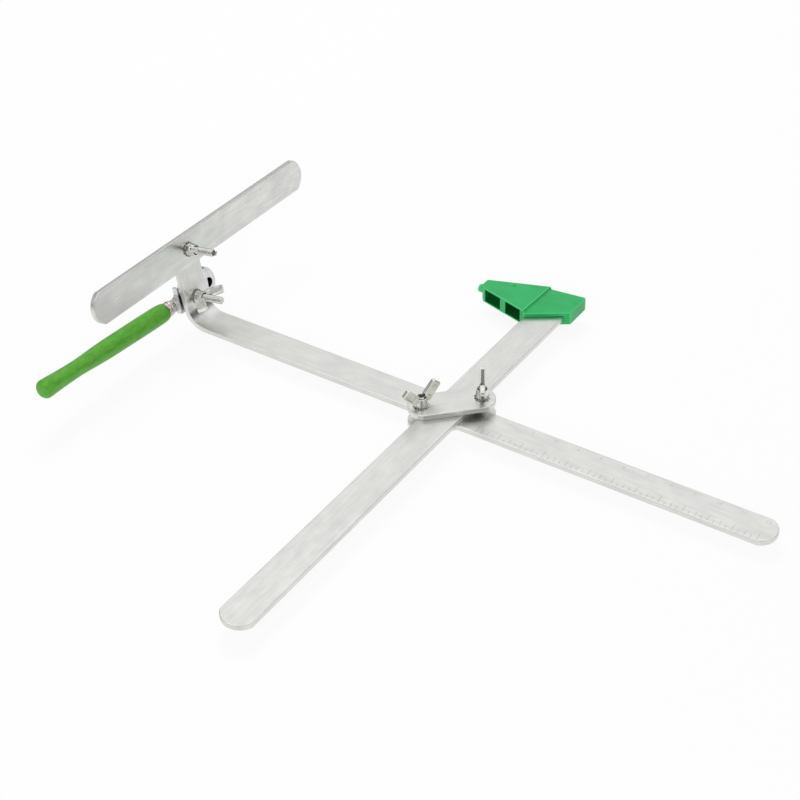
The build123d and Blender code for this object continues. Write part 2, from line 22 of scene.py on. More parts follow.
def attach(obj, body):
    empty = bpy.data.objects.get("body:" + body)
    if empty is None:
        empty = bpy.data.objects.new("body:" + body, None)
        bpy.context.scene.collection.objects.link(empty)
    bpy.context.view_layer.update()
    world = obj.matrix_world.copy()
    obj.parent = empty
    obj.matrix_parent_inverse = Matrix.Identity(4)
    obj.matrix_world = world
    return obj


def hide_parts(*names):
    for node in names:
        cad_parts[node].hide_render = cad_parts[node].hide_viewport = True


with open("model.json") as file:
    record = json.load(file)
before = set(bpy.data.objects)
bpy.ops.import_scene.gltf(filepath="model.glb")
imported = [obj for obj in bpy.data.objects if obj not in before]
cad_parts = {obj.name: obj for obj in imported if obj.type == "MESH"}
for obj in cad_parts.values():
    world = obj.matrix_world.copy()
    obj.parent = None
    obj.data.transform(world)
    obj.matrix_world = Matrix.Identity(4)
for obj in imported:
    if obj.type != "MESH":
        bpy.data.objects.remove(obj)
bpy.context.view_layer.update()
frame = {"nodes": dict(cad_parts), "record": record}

LOG = logging.getLogger("bottle_cutter")
JOINTS: dict[str, dict[str, Any]] = {joint["name"]: joint for joint in frame["record"]["behaviour"]["joints"]}
GRAIN = "grain"  # attribute: the point that a pattern is read at
PAINTED_SHADE = "hollow"  # attribute: share of painted shade, a dark colour painted where shade falls: bolt ends, thread mouths, the head's recess and the guide's pockets
PAINTED_HIGHLIGHT = "edge"  # attribute: share of painted highlight, a brighter colour painted on the guide's edges and dots
MM = 0.001
SNAP = 1e-8  # metres within which a cut takes the vertex that is there
UP = Vector((0, 0, 1))
EVEN_NORMALS = ("WEIGHTED_NORMAL", {"mode": "FACE_AREA", "weight": 60, "keep_sharp": True})
Pair = tuple[float, float]
Triple = tuple[float, float, float]
Pattern = NodeSocket | Node


class Slot(Enum):
    """Material slots of the record that the dressed pieces take their finish from."""

    ALUMINIUM = "aluminium_bar"
    BOLT = "zinc_bolt"
    SPRING = "spring_steel"
    NUT = "nickel_wing_nut"
    HEAD = "cutter_steel"
    WHEEL = "wheel_steel"
    FERRULE = "ferrule_metal"
    WOOD = "painted_wood"
    PLASTIC = "green_plastic"


class Level(Enum):
    """Ranks of the lines on the rule, with the number of eighths between lines of that rank."""

    QUARTER = 2
    HALF = 4


# Small helpers

def linear(code: str) -> tuple[float, float, float, float]:
    """Turns an sRGB hex colour into a linear one.

    Args:
        code: six hex digits, with or without a leading hash.

    Returns:
        Linear red, green, blue and an alpha of one.
    """
    digits = code.lstrip("#")
    parts = [int(digits[i:i + 2], 16) / 255 for i in (0, 2, 4)]
    knee, slope, lift, gamma = 0.04045, 12.92, 0.055, 2.4
    red, green, blue = [p / slope if p <= knee else ((p + lift) / (1 + lift)) ** gamma for p in parts]
    return red, green, blue, 1.0


def joint_place(name: str) -> tuple[Vector, Vector]:
    """Returns a joint's point and its axis, in metres."""
    return Vector(JOINTS[name]["pos_m"]), Vector(JOINTS[name]["axis"]).normalized()


def placed(origin: Vector, x_axis: Vector, z_axis: Vector) -> Matrix:
    """Builds a place from a point and two axes.

    Args:
        origin: the point, in metres.
        x_axis: direction of the local x.
        z_axis: direction of the local z.

    Returns:
        A matrix that takes local metres to the shared frame.
    """
    x_dir = x_axis.normalized()
    z_dir = z_axis.normalized()
    turn = Matrix((x_dir, z_dir.cross(x_dir), z_dir)).transposed().to_4x4()
    return Matrix.Translation(origin) @ turn


def add_object(name: str, data: ID) -> Object:
    """Puts a new object with the given data into the scene."""
    item = bpy.data.objects.new(name, data)
    bpy.context.scene.collection.objects.link(item)
    return item


def round_angles(steps: int) -> list[float]:
    """Angles of equal steps round a circle, in radians."""
    return [2 * math.pi * i / steps for i in range(steps)]


def per_mm(*sizes: float) -> tuple[float, ...]:
    """Pattern scale along each axis for cells of the given sizes in millimetres."""
    return tuple(1 / (size * MM) for size in sizes)


def add_node(tree: NodeTree, kind: str, settings: dict[str, Any] | None = None,
             inputs: dict[Any, Any] | None = None) -> Node:
    """Adds a node with its settings, values and links.

    Args:
        tree: the tree that gets the node.
        kind: the node's type name.
        settings: attributes to set on the node.
        inputs: values by socket name or number; a socket is linked, and so is a node, by its first live output.

    Returns:
        The new node.
    """
    node = tree.nodes.new(kind)
    for key, value in (settings or {}).items():
        setattr(node, key, value)
    for key, value in (inputs or {}).items():
        if isinstance(value, Node):
            value = next(output for output in value.outputs if output.enabled)
        if isinstance(value, NodeSocket):
            tree.links.new(value, node.inputs[key])
        else:
            node.inputs[key].default_value = value
    return node


def clouds(tree: NodeTree, at: Pattern, *cells: Triple, detail: float = 3.0) -> list[Node]:
    """Adds one random pattern for each cell size, mapped to that size.

    Args:
        tree: the material's tree.
        at: the point that the patterns are read at.
        cells: sizes along x, y and z in millimetres.
        detail: how many finer layers the patterns have.

    Returns:
        The patterns, in the order of their sizes.
    """
    patterns = []
    for cell in cells:
        mapped = add_node(tree, "ShaderNodeMapping", inputs={"Vector": at, "Scale": per_mm(*cell)})
        patterns.append(add_node(tree, "ShaderNodeTexNoise",
                                 inputs={"Vector": mapped, "Scale": 1.0, "Detail": detail}))
    return patterns


def blend(tree: NodeTree, pattern: Pattern, levels: Pair, first: str | Node, second: str,
          shares: Pair = (0.0, 1.0)) -> Node:
    """Blends two colours along a pattern.

    Args:
        tree: the material's tree.
        pattern: what the blend follows.
        levels: two values of the pattern.
        first: the first colour's hex code, or the node that gives it.
        second: the second colour's hex code.
        shares: how much of the second colour there is at each of the two values.

    Returns:
        The node that gives the colour.
    """
    share = add_node(tree, "ShaderNodeMapRange", inputs={
        "Value": pattern, "From Min": levels[0], "From Max": levels[1], "To Min": shares[0], "To Max": shares[1]})
    start = linear(first) if isinstance(first, str) else first
    return add_node(tree, "ShaderNodeMix", {"data_type": "RGBA"}, {0: share, 6: start, 7: linear(second)})


def finish_with(tree: NodeTree, surface: dict[str, Any], reliefs: Iterable[tuple[Node, float, float]],
                shine: tuple[Node, Pair, Pair] | None = None) -> None:
    """Ends a material with its shine, its layers of relief, its shader and its output.

    Args:
        tree: the material's tree.
        surface: the shader's other inputs.
        reliefs: patterns with their depth in millimetres and their strength, each laid over those before it.
        shine: a pattern, two values of it, and the roughness at each of them.
    """
    inputs = dict(surface)
    if shine:
        pattern, levels, roughness = shine
        inputs["Roughness"] = add_node(tree, "ShaderNodeMapRange", inputs={
            "Value": pattern, "From Min": levels[0], "From Max": levels[1], "To Min": roughness[0],
            "To Max": roughness[1]})
    for pattern, depth, strength in reliefs:
        below = {"Normal": inputs["Normal"]} if "Normal" in inputs else {}
        inputs["Normal"] = add_node(tree, "ShaderNodeBump", inputs={
            "Height": pattern, "Distance": depth * MM, "Strength": strength, **below})
    shader = add_node(tree, "ShaderNodeBsdfPrincipled", inputs=inputs)
    add_node(tree, "ShaderNodeOutputMaterial", inputs={"Surface": shader})


# Finishes: a pair of levels is two values of a pattern, and a relief is a depth and a strength

class Finish(ABC):
    """A material made of nodes, named for what the real one is."""

    @abstractmethod
    def dress(self, tree: NodeTree) -> None:
        """Adds the finish's nodes to a material's empty tree."""

    def build(self, name: str) -> Material:
        """Makes the material.

        Args:
            name: the material's name.

        Returns:
            The material.
        """
        material = bpy.data.materials.new(name)
        material.use_nodes = True
        material.node_tree.nodes.clear()
        self.dress(material.node_tree)
        return material


@dataclass(frozen=True)
class DrawnAluminium(Finish):
    """Mill-finish 6063 aluminium flat bar, sheared and tumbled: the eye gets a pale satin grey with soft broken
    streaks along the bar, cloudy patches of shine and a few cross scratches from handling.

    The drawing lines of a real bar are about 0.05 mm apart, too fine to show, so the streaks are drawn coarser.
    """

    pale: str = "#E1E1DE"
    dull: str = "#D6D7D4"
    streak: Triple = (24.0, 1.5, 1.5)
    line: Triple = (11.0, 0.35, 0.35)
    patch: Triple = (9.0, 4.5, 4.5)
    scratch: Triple = (0.25, 6.0, 0.25)
    scratch_turn: float = 24.0
    roughness: Pair = (0.27, 0.4)
    tone_levels: Pair = (0.75, 1.3)
    shine_levels: Pair = (0.7, 1.3)
    scratch_levels: Pair = (0.68, 0.74)
    scratch_relief: Pair = (0.01, -0.35)
    streak_relief: Pair = (0.02, 0.18)
    line_relief: Pair = (0.004, 0.25)

    def dress(self, tree: NodeTree) -> None:
        """Adds the finish's nodes.

        Args:
            tree: the material's tree.
        """
        place = add_node(tree, "ShaderNodeAttribute", {"attribute_name": GRAIN}).outputs["Vector"]
        turn = (0, 0, math.radians(self.scratch_turn))
        spun = add_node(tree, "ShaderNodeMapping", inputs={"Vector": place, "Rotation": turn})
        streak, patch = clouds(tree, place, self.streak, self.patch)
        line, = clouds(tree, place, self.line, detail=2.0)
        scratch, = clouds(tree, spun, self.scratch, detail=2.0)
        mottle = add_node(tree, "ShaderNodeMath", {"operation": "ADD"}, {0: streak, 1: patch})
        colour = blend(tree, mottle, self.tone_levels, self.pale, self.dull)
        cut = add_node(tree, "ShaderNodeMapRange", inputs={
            "Value": scratch, "From Min": self.scratch_levels[0], "From Max": self.scratch_levels[1]})
        reliefs = [(cut, *self.scratch_relief), (streak, *self.streak_relief), (line, *self.line_relief)]
        finish_with(tree, {"Base Color": colour, "Metallic": 1.0}, reliefs,
                    (mottle, self.shine_levels, self.roughness))


@dataclass(frozen=True)
class PlatedMetal(Finish):
    """Steel or zinc casting under a thin bright plate: the eye gets an even colour, a cloudy polish that mirrors the
    room in small dark and light shapes, a faint tint where the plate is thin, and fine pits. Where a piece stores
    painted shade, the colour turns near black and matt: painted shade."""

    bright: str
    tint: str
    roughness: Pair = (0.08, 0.22)
    cloud: float = 2.4
    pit: float = 0.22
    relief: Pair = (0.012, 0.6)
    tint_share: float = 0.7
    tint_levels: Pair = (0.38, 0.68)
    shine_levels: Pair = (0.3, 0.75)
    # painted shade: the near-black colour painted where shade falls
    soot: str = "#1C1D1E"
    soot_roughness: float = 0.7

    def dress(self, tree: NodeTree) -> None:
        """Adds the finish's nodes.

        Args:
            tree: the material's tree.
        """
        place = add_node(tree, "ShaderNodeTexCoord").outputs["Object"]
        hollow = add_node(tree, "ShaderNodeAttribute", {"attribute_name": PAINTED_SHADE}).outputs["Fac"]
        cloud = add_node(tree, "ShaderNodeTexNoise", inputs={
            "Vector": place, "Scale": per_mm(self.cloud)[0], "Detail": 3.0})
        pit = add_node(tree, "ShaderNodeTexNoise", inputs={"Vector": place, "Scale": per_mm(self.pit)[0]})
        plate = blend(tree, cloud, self.tint_levels, self.bright, self.tint, (0.0, self.tint_share))
        # painted shade: the plate's colour turns near black where the piece stores painted shade
        colour = add_node(tree, "ShaderNodeMix", {"data_type": "RGBA"}, {0: hollow, 6: plate, 7: linear(self.soot)})
        polish = add_node(tree, "ShaderNodeMapRange", inputs={
            "Value": cloud, "From Min": self.shine_levels[0], "From Max": self.shine_levels[1],
            "To Min": self.roughness[0], "To Max": self.roughness[1]})
        rough = add_node(tree, "ShaderNodeMix", inputs={0: hollow, 2: polish, 3: self.soot_roughness})
        finish_with(tree, {"Base Color": colour, "Roughness": rough, "Metallic": 1.0}, [(pit, *self.relief)])


@dataclass(frozen=True)
class TurnedMetal(Finish):
    """Ground or pressed metal: the eye gets fine rings round the axis that break up the reflections, and a dull
    warm or cool tone in patches. The rings of real grinding are finer, so they are drawn coarser."""

    bright: str
    dark: str
    line: float = 0.18
    roughness: Pair = (0.22, 0.38)
    across: float = 30.0
    patch: Triple = (2.0, 1.6, 1.6)
    tone_levels: Pair = (0.8, 1.2)
    shine_levels: Pair = (0.3, 0.7)
    relief: Pair = (0.02, 0.6)

    def dress(self, tree: NodeTree) -> None:
        """Adds the finish's nodes.

        Args:
            tree: the material's tree.
        """
        place = add_node(tree, "ShaderNodeAttribute", {"attribute_name": GRAIN}).outputs["Vector"]
        rings, patch = clouds(tree, place, (self.line, self.across, self.across), self.patch)
        tone = add_node(tree, "ShaderNodeMath", {"operation": "ADD"}, {0: rings, 1: patch})
        colour = blend(tree, tone, self.tone_levels, self.bright, self.dark)
        finish_with(tree, {"Base Color": colour, "Metallic": 1.0}, [(rings, *self.relief)],
                    (patch, self.shine_levels, self.roughness))


@dataclass(frozen=True)
class MouldedPlastic(Finish):
    """Injection-moulded ABS: the eye gets one even green with slight flow marks and a satin spark-eroded grain that
    softens the sheen. Edges and dots get a painted highlight of brighter green, and pockets a painted shade of dark
    green."""

    body: str = "#22B463"
    deep: str = "#1DA959"
    # painted highlight: brighter green painted on edges and dots
    rubbed: str = "#3ECF7C"
    # painted shade: dark green painted where the guide shuts off the light
    unlit: str = "#045E22"
    grain: float = 0.3
    flow: Triple = (14.0, 7.0, 14.0)
    roughness: Pair = (0.34, 0.46)
    flow_levels: Pair = (0.35, 0.7)
    shine_levels: Pair = (0.3, 0.7)
    flow_relief: Pair = (0.15, 0.25)
    grain_relief: Pair = (0.02, 0.35)
    ior: float = 1.49

    def dress(self, tree: NodeTree) -> None:
        """Adds the finish's nodes.

        Args:
            tree: the material's tree.
        """
        place = add_node(tree, "ShaderNodeTexCoord").outputs["Object"]
        flow, = clouds(tree, place, self.flow, detail=2.0)
        grain = add_node(tree, "ShaderNodeTexNoise", inputs={"Vector": place, "Scale": per_mm(self.grain)[0]})
        colour = blend(tree, flow, self.flow_levels, self.body, self.deep)
        # painted highlight on edges and dots, then painted shade where the guide shuts off the light
        for attribute, tone in ((PAINTED_HIGHLIGHT, self.rubbed), (PAINTED_SHADE, self.unlit)):
            share = add_node(tree, "ShaderNodeAttribute", {"attribute_name": attribute}).outputs["Fac"]
            colour = add_node(tree, "ShaderNodeMix", {"data_type": "RGBA"}, {0: share, 6: colour, 7: linear(tone)})
        reliefs = [(flow, *self.flow_relief), (grain, *self.grain_relief)]
        finish_with(tree, {"Base Color": colour, "IOR": self.ior}, reliefs,
                    (grain, self.shine_levels, self.roughness))


@dataclass(frozen=True)
class PaintedWood(Finish):
    """Turned beech under green enamel: the eye gets a mottled leaf green, fine pores as long soft ridges, a darker
    band at the front by the ferrule, and a broken satin shine."""

    paint: str = "#5AAC2D"
    deep: str = "#4A9A20"
    worn: str = "#73BB48"
    pooled: str = "#17300D"
    pores: Triple = (7.0, 0.5, 0.5)
    mottle: Triple = (5.0, 1.8, 1.8)
    peel: Triple = (1.1, 1.1, 1.1)
    front: float = 7.4
    pool: float = 0.9
    roughness: Pair = (0.34, 0.5)
    mottle_levels: Pair = (0.35, 0.65)
    worn_levels: Pair = (0.58, 0.75)
    worn_share: float = 0.6
    pooled_share: float = 0.95
    shine_levels: Pair = (0.3, 0.75)
    peel_relief: Pair = (0.03, 0.3)
    pore_relief: Pair = (0.05, 0.4)
    ior: float = 1.5

    def dress(self, tree: NodeTree) -> None:
        """Adds the finish's nodes.

        Args:
            tree: the material's tree.
        """
        place = add_node(tree, "ShaderNodeAttribute", {"attribute_name": GRAIN}).outputs["Vector"]
        pores, mottle, peel = clouds(tree, place, self.pores, self.mottle, self.peel)
        along = add_node(tree, "ShaderNodeSeparateXYZ", inputs={"Vector": place}).outputs["X"]
        pool = ((self.front + self.pool / 2) * MM, (self.front + self.pool) * MM)
        paint = blend(tree, mottle, self.mottle_levels, self.paint, self.deep)
        worn = blend(tree, pores, self.worn_levels, paint, self.worn, (0.0, self.worn_share))
        # darker in a band at the front of the handle, by the ferrule
        colour = blend(tree, along, pool, worn, self.pooled, (self.pooled_share, 0.0))
        reliefs = [(peel, *self.peel_relief), (pores, *self.pore_relief)]
        finish_with(tree, {"Base Color": colour, "IOR": self.ior}, reliefs,
                    (pores, self.shine_levels, self.roughness))


@dataclass(frozen=True)
class EtchedLine(Finish):
    """Line of the rule, rolled into the aluminium: the eye gets the same metal a little darker and matt."""

    colour: str = "#8C8E8C"
    pale: str = "#B0B2AF"
    cell: float = 0.6
    wear_levels: Pair = (0.3, 0.7)
    relief: Pair = (0.01, 0.3)
    metallic: float = 0.8
    roughness: float = 0.5

    def dress(self, tree: NodeTree) -> None:
        """Adds the finish's nodes.

        Args:
            tree: the material's tree.
        """
        place = add_node(tree, "ShaderNodeTexCoord").outputs["Object"]
        wear = add_node(tree, "ShaderNodeTexNoise", inputs={"Vector": place, "Scale": per_mm(self.cell)[0]})
        colour = blend(tree, wear, self.wear_levels, self.colour, self.pale)
        finish_with(tree, {"Base Color": colour, "Metallic": self.metallic, "Roughness": self.roughness},
                    [(wear, *self.relief)])


@dataclass(frozen=True)
class StudioFloor(Finish):
    """Seamless white paper: the eye gets plain white, which the metal mirrors too, and a faint shadow."""

    paper: str = "#FAFAFA"
    glow_share: float = 0.9

    def dress(self, tree: NodeTree) -> None:
        """Adds the finish's nodes.

        Args:
            tree: the material's tree.
        """
        path = add_node(tree, "ShaderNodeLightPath").outputs
        seen: Pattern = path["Is Camera Ray"]
        for ray in ("Is Glossy Ray", "Is Transmission Ray"):
            seen = add_node(tree, "ShaderNodeMath", {"operation": "MAXIMUM"}, {0: seen, 1: path[ray]})
        share = add_node(tree, "ShaderNodeMath", {"operation": "MULTIPLY"}, {0: seen, 1: self.glow_share})
        paper = add_node(tree, "ShaderNodeBsdfDiffuse", inputs={"Color": linear(self.paper)})
        glow = add_node(tree, "ShaderNodeEmission", inputs={"Color": linear("#FFFFFF"), "Strength": 1.0})
        mixed = add_node(tree, "ShaderNodeMixShader", inputs={0: share, 1: paper, 2: glow})
        add_node(tree, "ShaderNodeOutputMaterial", inputs={"Surface": mixed})


# Mesh helpers

WELD = 0.002  # millimetres within which the corners of loose CAD triangles are one
CORNER = 28.0  # degrees that an outward edge turns, at least, where it gets rounded


def mesh_object(name: str, bm: BMesh, place: Matrix, grain: list[Vector] | None = None,
                sharp: float = 0.0) -> Object:
    """Turns a bmesh, in local metres, into an object with its place in its mesh.

    Args:
        name: the piece's name.
        bm: the mesh data, which is freed.
        place: where the piece goes.
        grain: local points to store for the pattern; without them the local coordinates are stored.
        sharp: edges that turn more than this many degrees are shaded sharp, none at zero.

    Returns:
        The object.
    """
    bmesh.ops.recalc_face_normals(bm, faces=bm.faces)
    for face in bm.faces:
        face.smooth = True
    if sharp:
        limit = math.radians(sharp)
        for edge in bm.edges:
            edge.smooth = edge.calc_face_angle(0.0) < limit
    bm.verts.ensure_lookup_table()
    points = grain or [v.co.copy() for v in bm.verts]
    mesh = bpy.data.meshes.new(name)
    bm.to_mesh(mesh)
    bm.free()
    store = mesh.attributes.new(GRAIN, "FLOAT_VECTOR", "POINT")
    store.data.foreach_set("vector", [c for p in points for c in p])
    mesh.transform(place)
    return add_object(name, mesh)


def bridge(bm: BMesh, first: list[BMVert], second: list[BMVert]) -> None:
    """Joins two closed rings of equal length with quads."""
    count = len(first)
    for i in range(count):
        j = (i + 1) % count
        bm.faces.new((first[i], first[j], second[j], second[i]))


def ring(bm: BMesh, points: Iterable[Triple]) -> list[BMVert]:
    """Adds a ring of vertices, given in millimetres."""
    return [bm.verts.new(Vector(p) * MM) for p in points]


def hoop(bm: BMesh, x: float, radius: float, steps: int) -> list[BMVert]:
    """Adds a ring of vertices round the local x axis, given in millimetres."""
    return ring(bm, [(x, radius * math.cos(a), radius * math.sin(a)) for a in round_angles(steps)])


def turned(profile: list[Pair], segments: int = 72) -> BMesh:
    """Turns a profile about the local x axis.

    Args:
        profile: distances along the axis and radii, in millimetres, from one pole to the other.
        segments: steps round the axis.

    Returns:
        A closed mesh.
    """
    bm = bmesh.new()
    rings = [hoop(bm, x, radius, segments) if radius > 0 else ring(bm, [(x, 0, 0)]) for x, radius in profile]
    for first, second in zip(rings, rings[1:]):
        if len(first) > 1 and len(second) > 1:
            bridge(bm, first, second)
            continue
        pole, rim = (first, second) if len(first) == 1 else (second, first)
        for i in range(segments):
            bm.faces.new((pole[0], rim[i], rim[(i + 1) % segments]))
    return bm


def smooth_profile(points: list[Pair], steps: int = 8) -> list[Pair]:
    """Runs a smooth line through profile points.

    Args:
        points: distances and radii in millimetres.
        steps: new points between two given ones.

    Returns:
        The points of a Catmull-Rom line through them.
    """
    result: list[Pair] = []
    for i in range(len(points) - 1):
        start, end = points[i], points[i + 1]
        before, after = points[max(i - 1, 0)], points[min(i + 2, len(points) - 1)]
        for step in range(steps):
            t = step / steps
            value = [0.5 * (2 * b + (c - a) * t + (2 * a - 5 * b + 4 * c - d) * t * t
                            + (3 * b - a - 3 * c + d) * t ** 3)
                     for a, b, c, d in zip(before, start, end, after)]
            result.append((value[0], value[1]))
    result.append(points[-1])
    return result


def outward_rims(bm: BMesh, corner: float) -> list[list[BMEdge]]:
    """Finds the outward corner edges and sorts them into connected rims.

    Args:
        bm: the mesh.
        corner: edges that turn less than this many degrees aren't corners.

    Returns:
        The rims, the shortest first.
    """
    left = {edge.index: edge for edge in bm.edges
            if edge.is_manifold and edge.is_convex and edge.calc_face_angle(0.0) > math.radians(corner)}
    rims = []
    while left:
        rim = []
        queue = [left.pop(next(iter(left)))]
        while queue:
            edge = queue.pop()
            rim.append(edge)
            queue += [left.pop(near.index) for vert in edge.verts for near in vert.link_edges if near.index in left]
        rims.append(rim)
    return sorted(rims, key=lambda rim: sum(edge.calc_length() for edge in rim))


def solid_copy(node: str, name: str, modifiers: list[tuple[str, dict[str, Any]]], flat: float = 1.0,
               outer: float = 0.0, inner: float = 0.1) -> Object:
    """Copies a CAD node, joins its loose triangles, merges flat faces, rounds its rims and adds modifiers.

    Args:
        node: the CAD node.
        name: the new piece's name.
        modifiers: modifier types with their settings, in order.
        flat: faces that differ by less than this many degrees are merged.
        outer: rounding of the outline's rims in millimetres, none at zero.
        inner: rounding of the shorter rims, round pockets and dots.

    Returns:
        A piece with a plain mesh.
    """
    bm = bmesh.new()
    bm.from_mesh(frame["nodes"][node].data)
    bmesh.ops.remove_doubles(bm, verts=bm.verts, dist=WELD * MM)
    if flat:
        bmesh.ops.dissolve_limit(bm, angle_limit=math.radians(flat), verts=bm.verts, edges=bm.edges)
    if outer:
        bm.edges.index_update()
        rims = outward_rims(bm, CORNER)
        for rim in rims:
            bmesh.ops.bevel(bm, geom=[edge for edge in rim if edge.is_valid], affect="EDGES", segments=3,
                            profile=0.5, offset=(outer if rim is rims[-1] else inner) * MM)
    raw = mesh_object(name + "_raw", bm, Matrix.Identity(4))
    for kind, settings in modifiers:
        modifier = raw.modifiers.new(kind.lower(), kind)
        for key, value in settings.items():
            setattr(modifier, key, value)
    return plain(raw, name)


def plain(source: Object, name: str) -> Object:
    """Replaces an object that has modifiers by one with the finished mesh.

    Args:
        source: the object, which is removed.
        name: the finished piece's name.

    Returns:
        The finished piece, with no modifiers.
    """
    bpy.context.view_layer.update()
    graph = bpy.context.evaluated_depsgraph_get()
    mesh = bpy.data.meshes.new_from_object(source.evaluated_get(graph))
    mesh.name = name
    piece = add_object(name, mesh)
    bpy.data.objects.remove(source)
    return piece


def mark(piece: Object, name: str, shares: list[float], domain: str = "POINT") -> None:
    """Stores a share for each vertex or face, which a finish reads by its name."""
    piece.data.attributes.new(name, "FLOAT", domain).data.foreach_set("value", shares)


def hand_over(piece: Object, body: str, material: Material, nodes: tuple[str, ...] = ()) -> None:
    """Gives a piece its material, its body and the nodes it stands for, and reports it.

    Args:
        piece: the finished piece.
        body: the CAD body it rides on.
        material: its material.
        nodes: the CAD nodes that it replaces.
    """
    piece.data.materials.clear()
    piece.data.materials.append(material)
    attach(piece, body)
    if nodes:
        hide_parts(*nodes)
    LOG.info("%s rides on %s with %d faces", piece.name, body, len(piece.data.polygons))


# Geometry Nodes

def new_shape_tree(name: str, count: str, sizes: tuple[str, ...]) -> tuple[NodeTree, NodeOutputs]:
    """Starts a node tree that has a count, sizes and a material as its inputs and a shape as its output.

    Args:
        name: the tree's name.
        count: name of the input that says how often a form is repeated.
        sizes: names of the inputs in metres or radians.

    Returns:
        The tree, and the sockets that its inputs come from.
    """
    tree = bpy.data.node_groups.new(name, "GeometryNodeTree")
    kinds = {count: "NodeSocketInt", **dict.fromkeys(sizes, "NodeSocketFloat"), "Material": "NodeSocketMaterial"}
    for label, kind in kinds.items():
        tree.interface.new_socket(label, in_out="INPUT", socket_type=kind)
    tree.interface.new_socket("Geometry", in_out="OUTPUT", socket_type="NodeSocketGeometry")
    return tree, add_node(tree, "NodeGroupInput").outputs


def close_shape_tree(tree: NodeTree, given: NodeOutputs, shape: Node) -> None:
    """Ends a node tree by making its repeated forms real and giving them their material.

    Args:
        tree: the tree.
        given: the sockets that its inputs come from.
        shape: the node that gives the finished shape.
    """
    real = add_node(tree, "GeometryNodeRealizeInstances", inputs={"Geometry": shape})
    done = add_node(tree, "GeometryNodeSetMaterial", inputs={"Geometry": real, "Material": given["Material"]})
    add_node(tree, "NodeGroupOutput", inputs={"Geometry": done})


def grown(name: str, tree: NodeTree, values: dict[str, Any], place: Matrix) -> Object:
    """Grows a piece from a Geometry Nodes tree and makes it a plain mesh.

    Args:
        name: the piece's name.
        tree: the node tree.
        values: its inputs by name.
        place: where the piece goes.

    Returns:
        The piece, with its place in its mesh.
    """
    holder = add_object(name + "_seed", bpy.data.meshes.new(name + "_seed"))
    modifier = holder.modifiers.new("grown", "NODES")
    modifier.node_group = tree
    for item in tree.interface.items_tree:
        if item.in_out == "INPUT" and item.name in values:
            modifier[item.identifier] = values[item.name]
    piece = plain(holder, name)
    piece.data.transform(place)
    return piece


# Places that the pieces share

@dataclass(frozen=True)
class Layout:
    """Where the crossing, the tab and the scoring tool are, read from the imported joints."""

    rest_bolt_height: float = 41.4
    rest_bar_tilt: float = -1.4
    cutter_tilt: float = 4.1

    @property
    def crossing(self) -> Vector:
        """Middle of the crossing, in the plane where the arms touch."""
        return joint_place("clamp_slide")[0]

    @property
    def outward(self) -> Vector:
        """Direction out of the tab's inner face."""
        return joint_place("rest_bar_hinge")[1]

    @property
    def upward(self) -> Vector:
        """Direction up the tab."""
        return self.outward.cross(Vector((0, 1, 0)))

    @property
    def tab_foot(self) -> Vector:
        """Point where the tab's inner face would meet the ruler arm's top face."""
        return joint_place("rest_bar_hinge")[0] - self.upward * (self.rest_bolt_height * MM)

    def tab_direction(self, turn: float) -> Vector:
        """Direction in the tab's face, turned in degrees from +Y towards the tab's top."""
        angle = math.radians(turn)
        return Vector((0, math.cos(angle), 0)) + self.upward * math.sin(angle)

    def cutter(self) -> Matrix:
        """Place of the scoring tool: x towards its tip, z out of the tab's inner face."""
        return placed(joint_place("cutter_hinge")[0], self.tab_direction(-self.cutter_tilt), self.outward)


LAYOUT = Layout()


# Flat bars

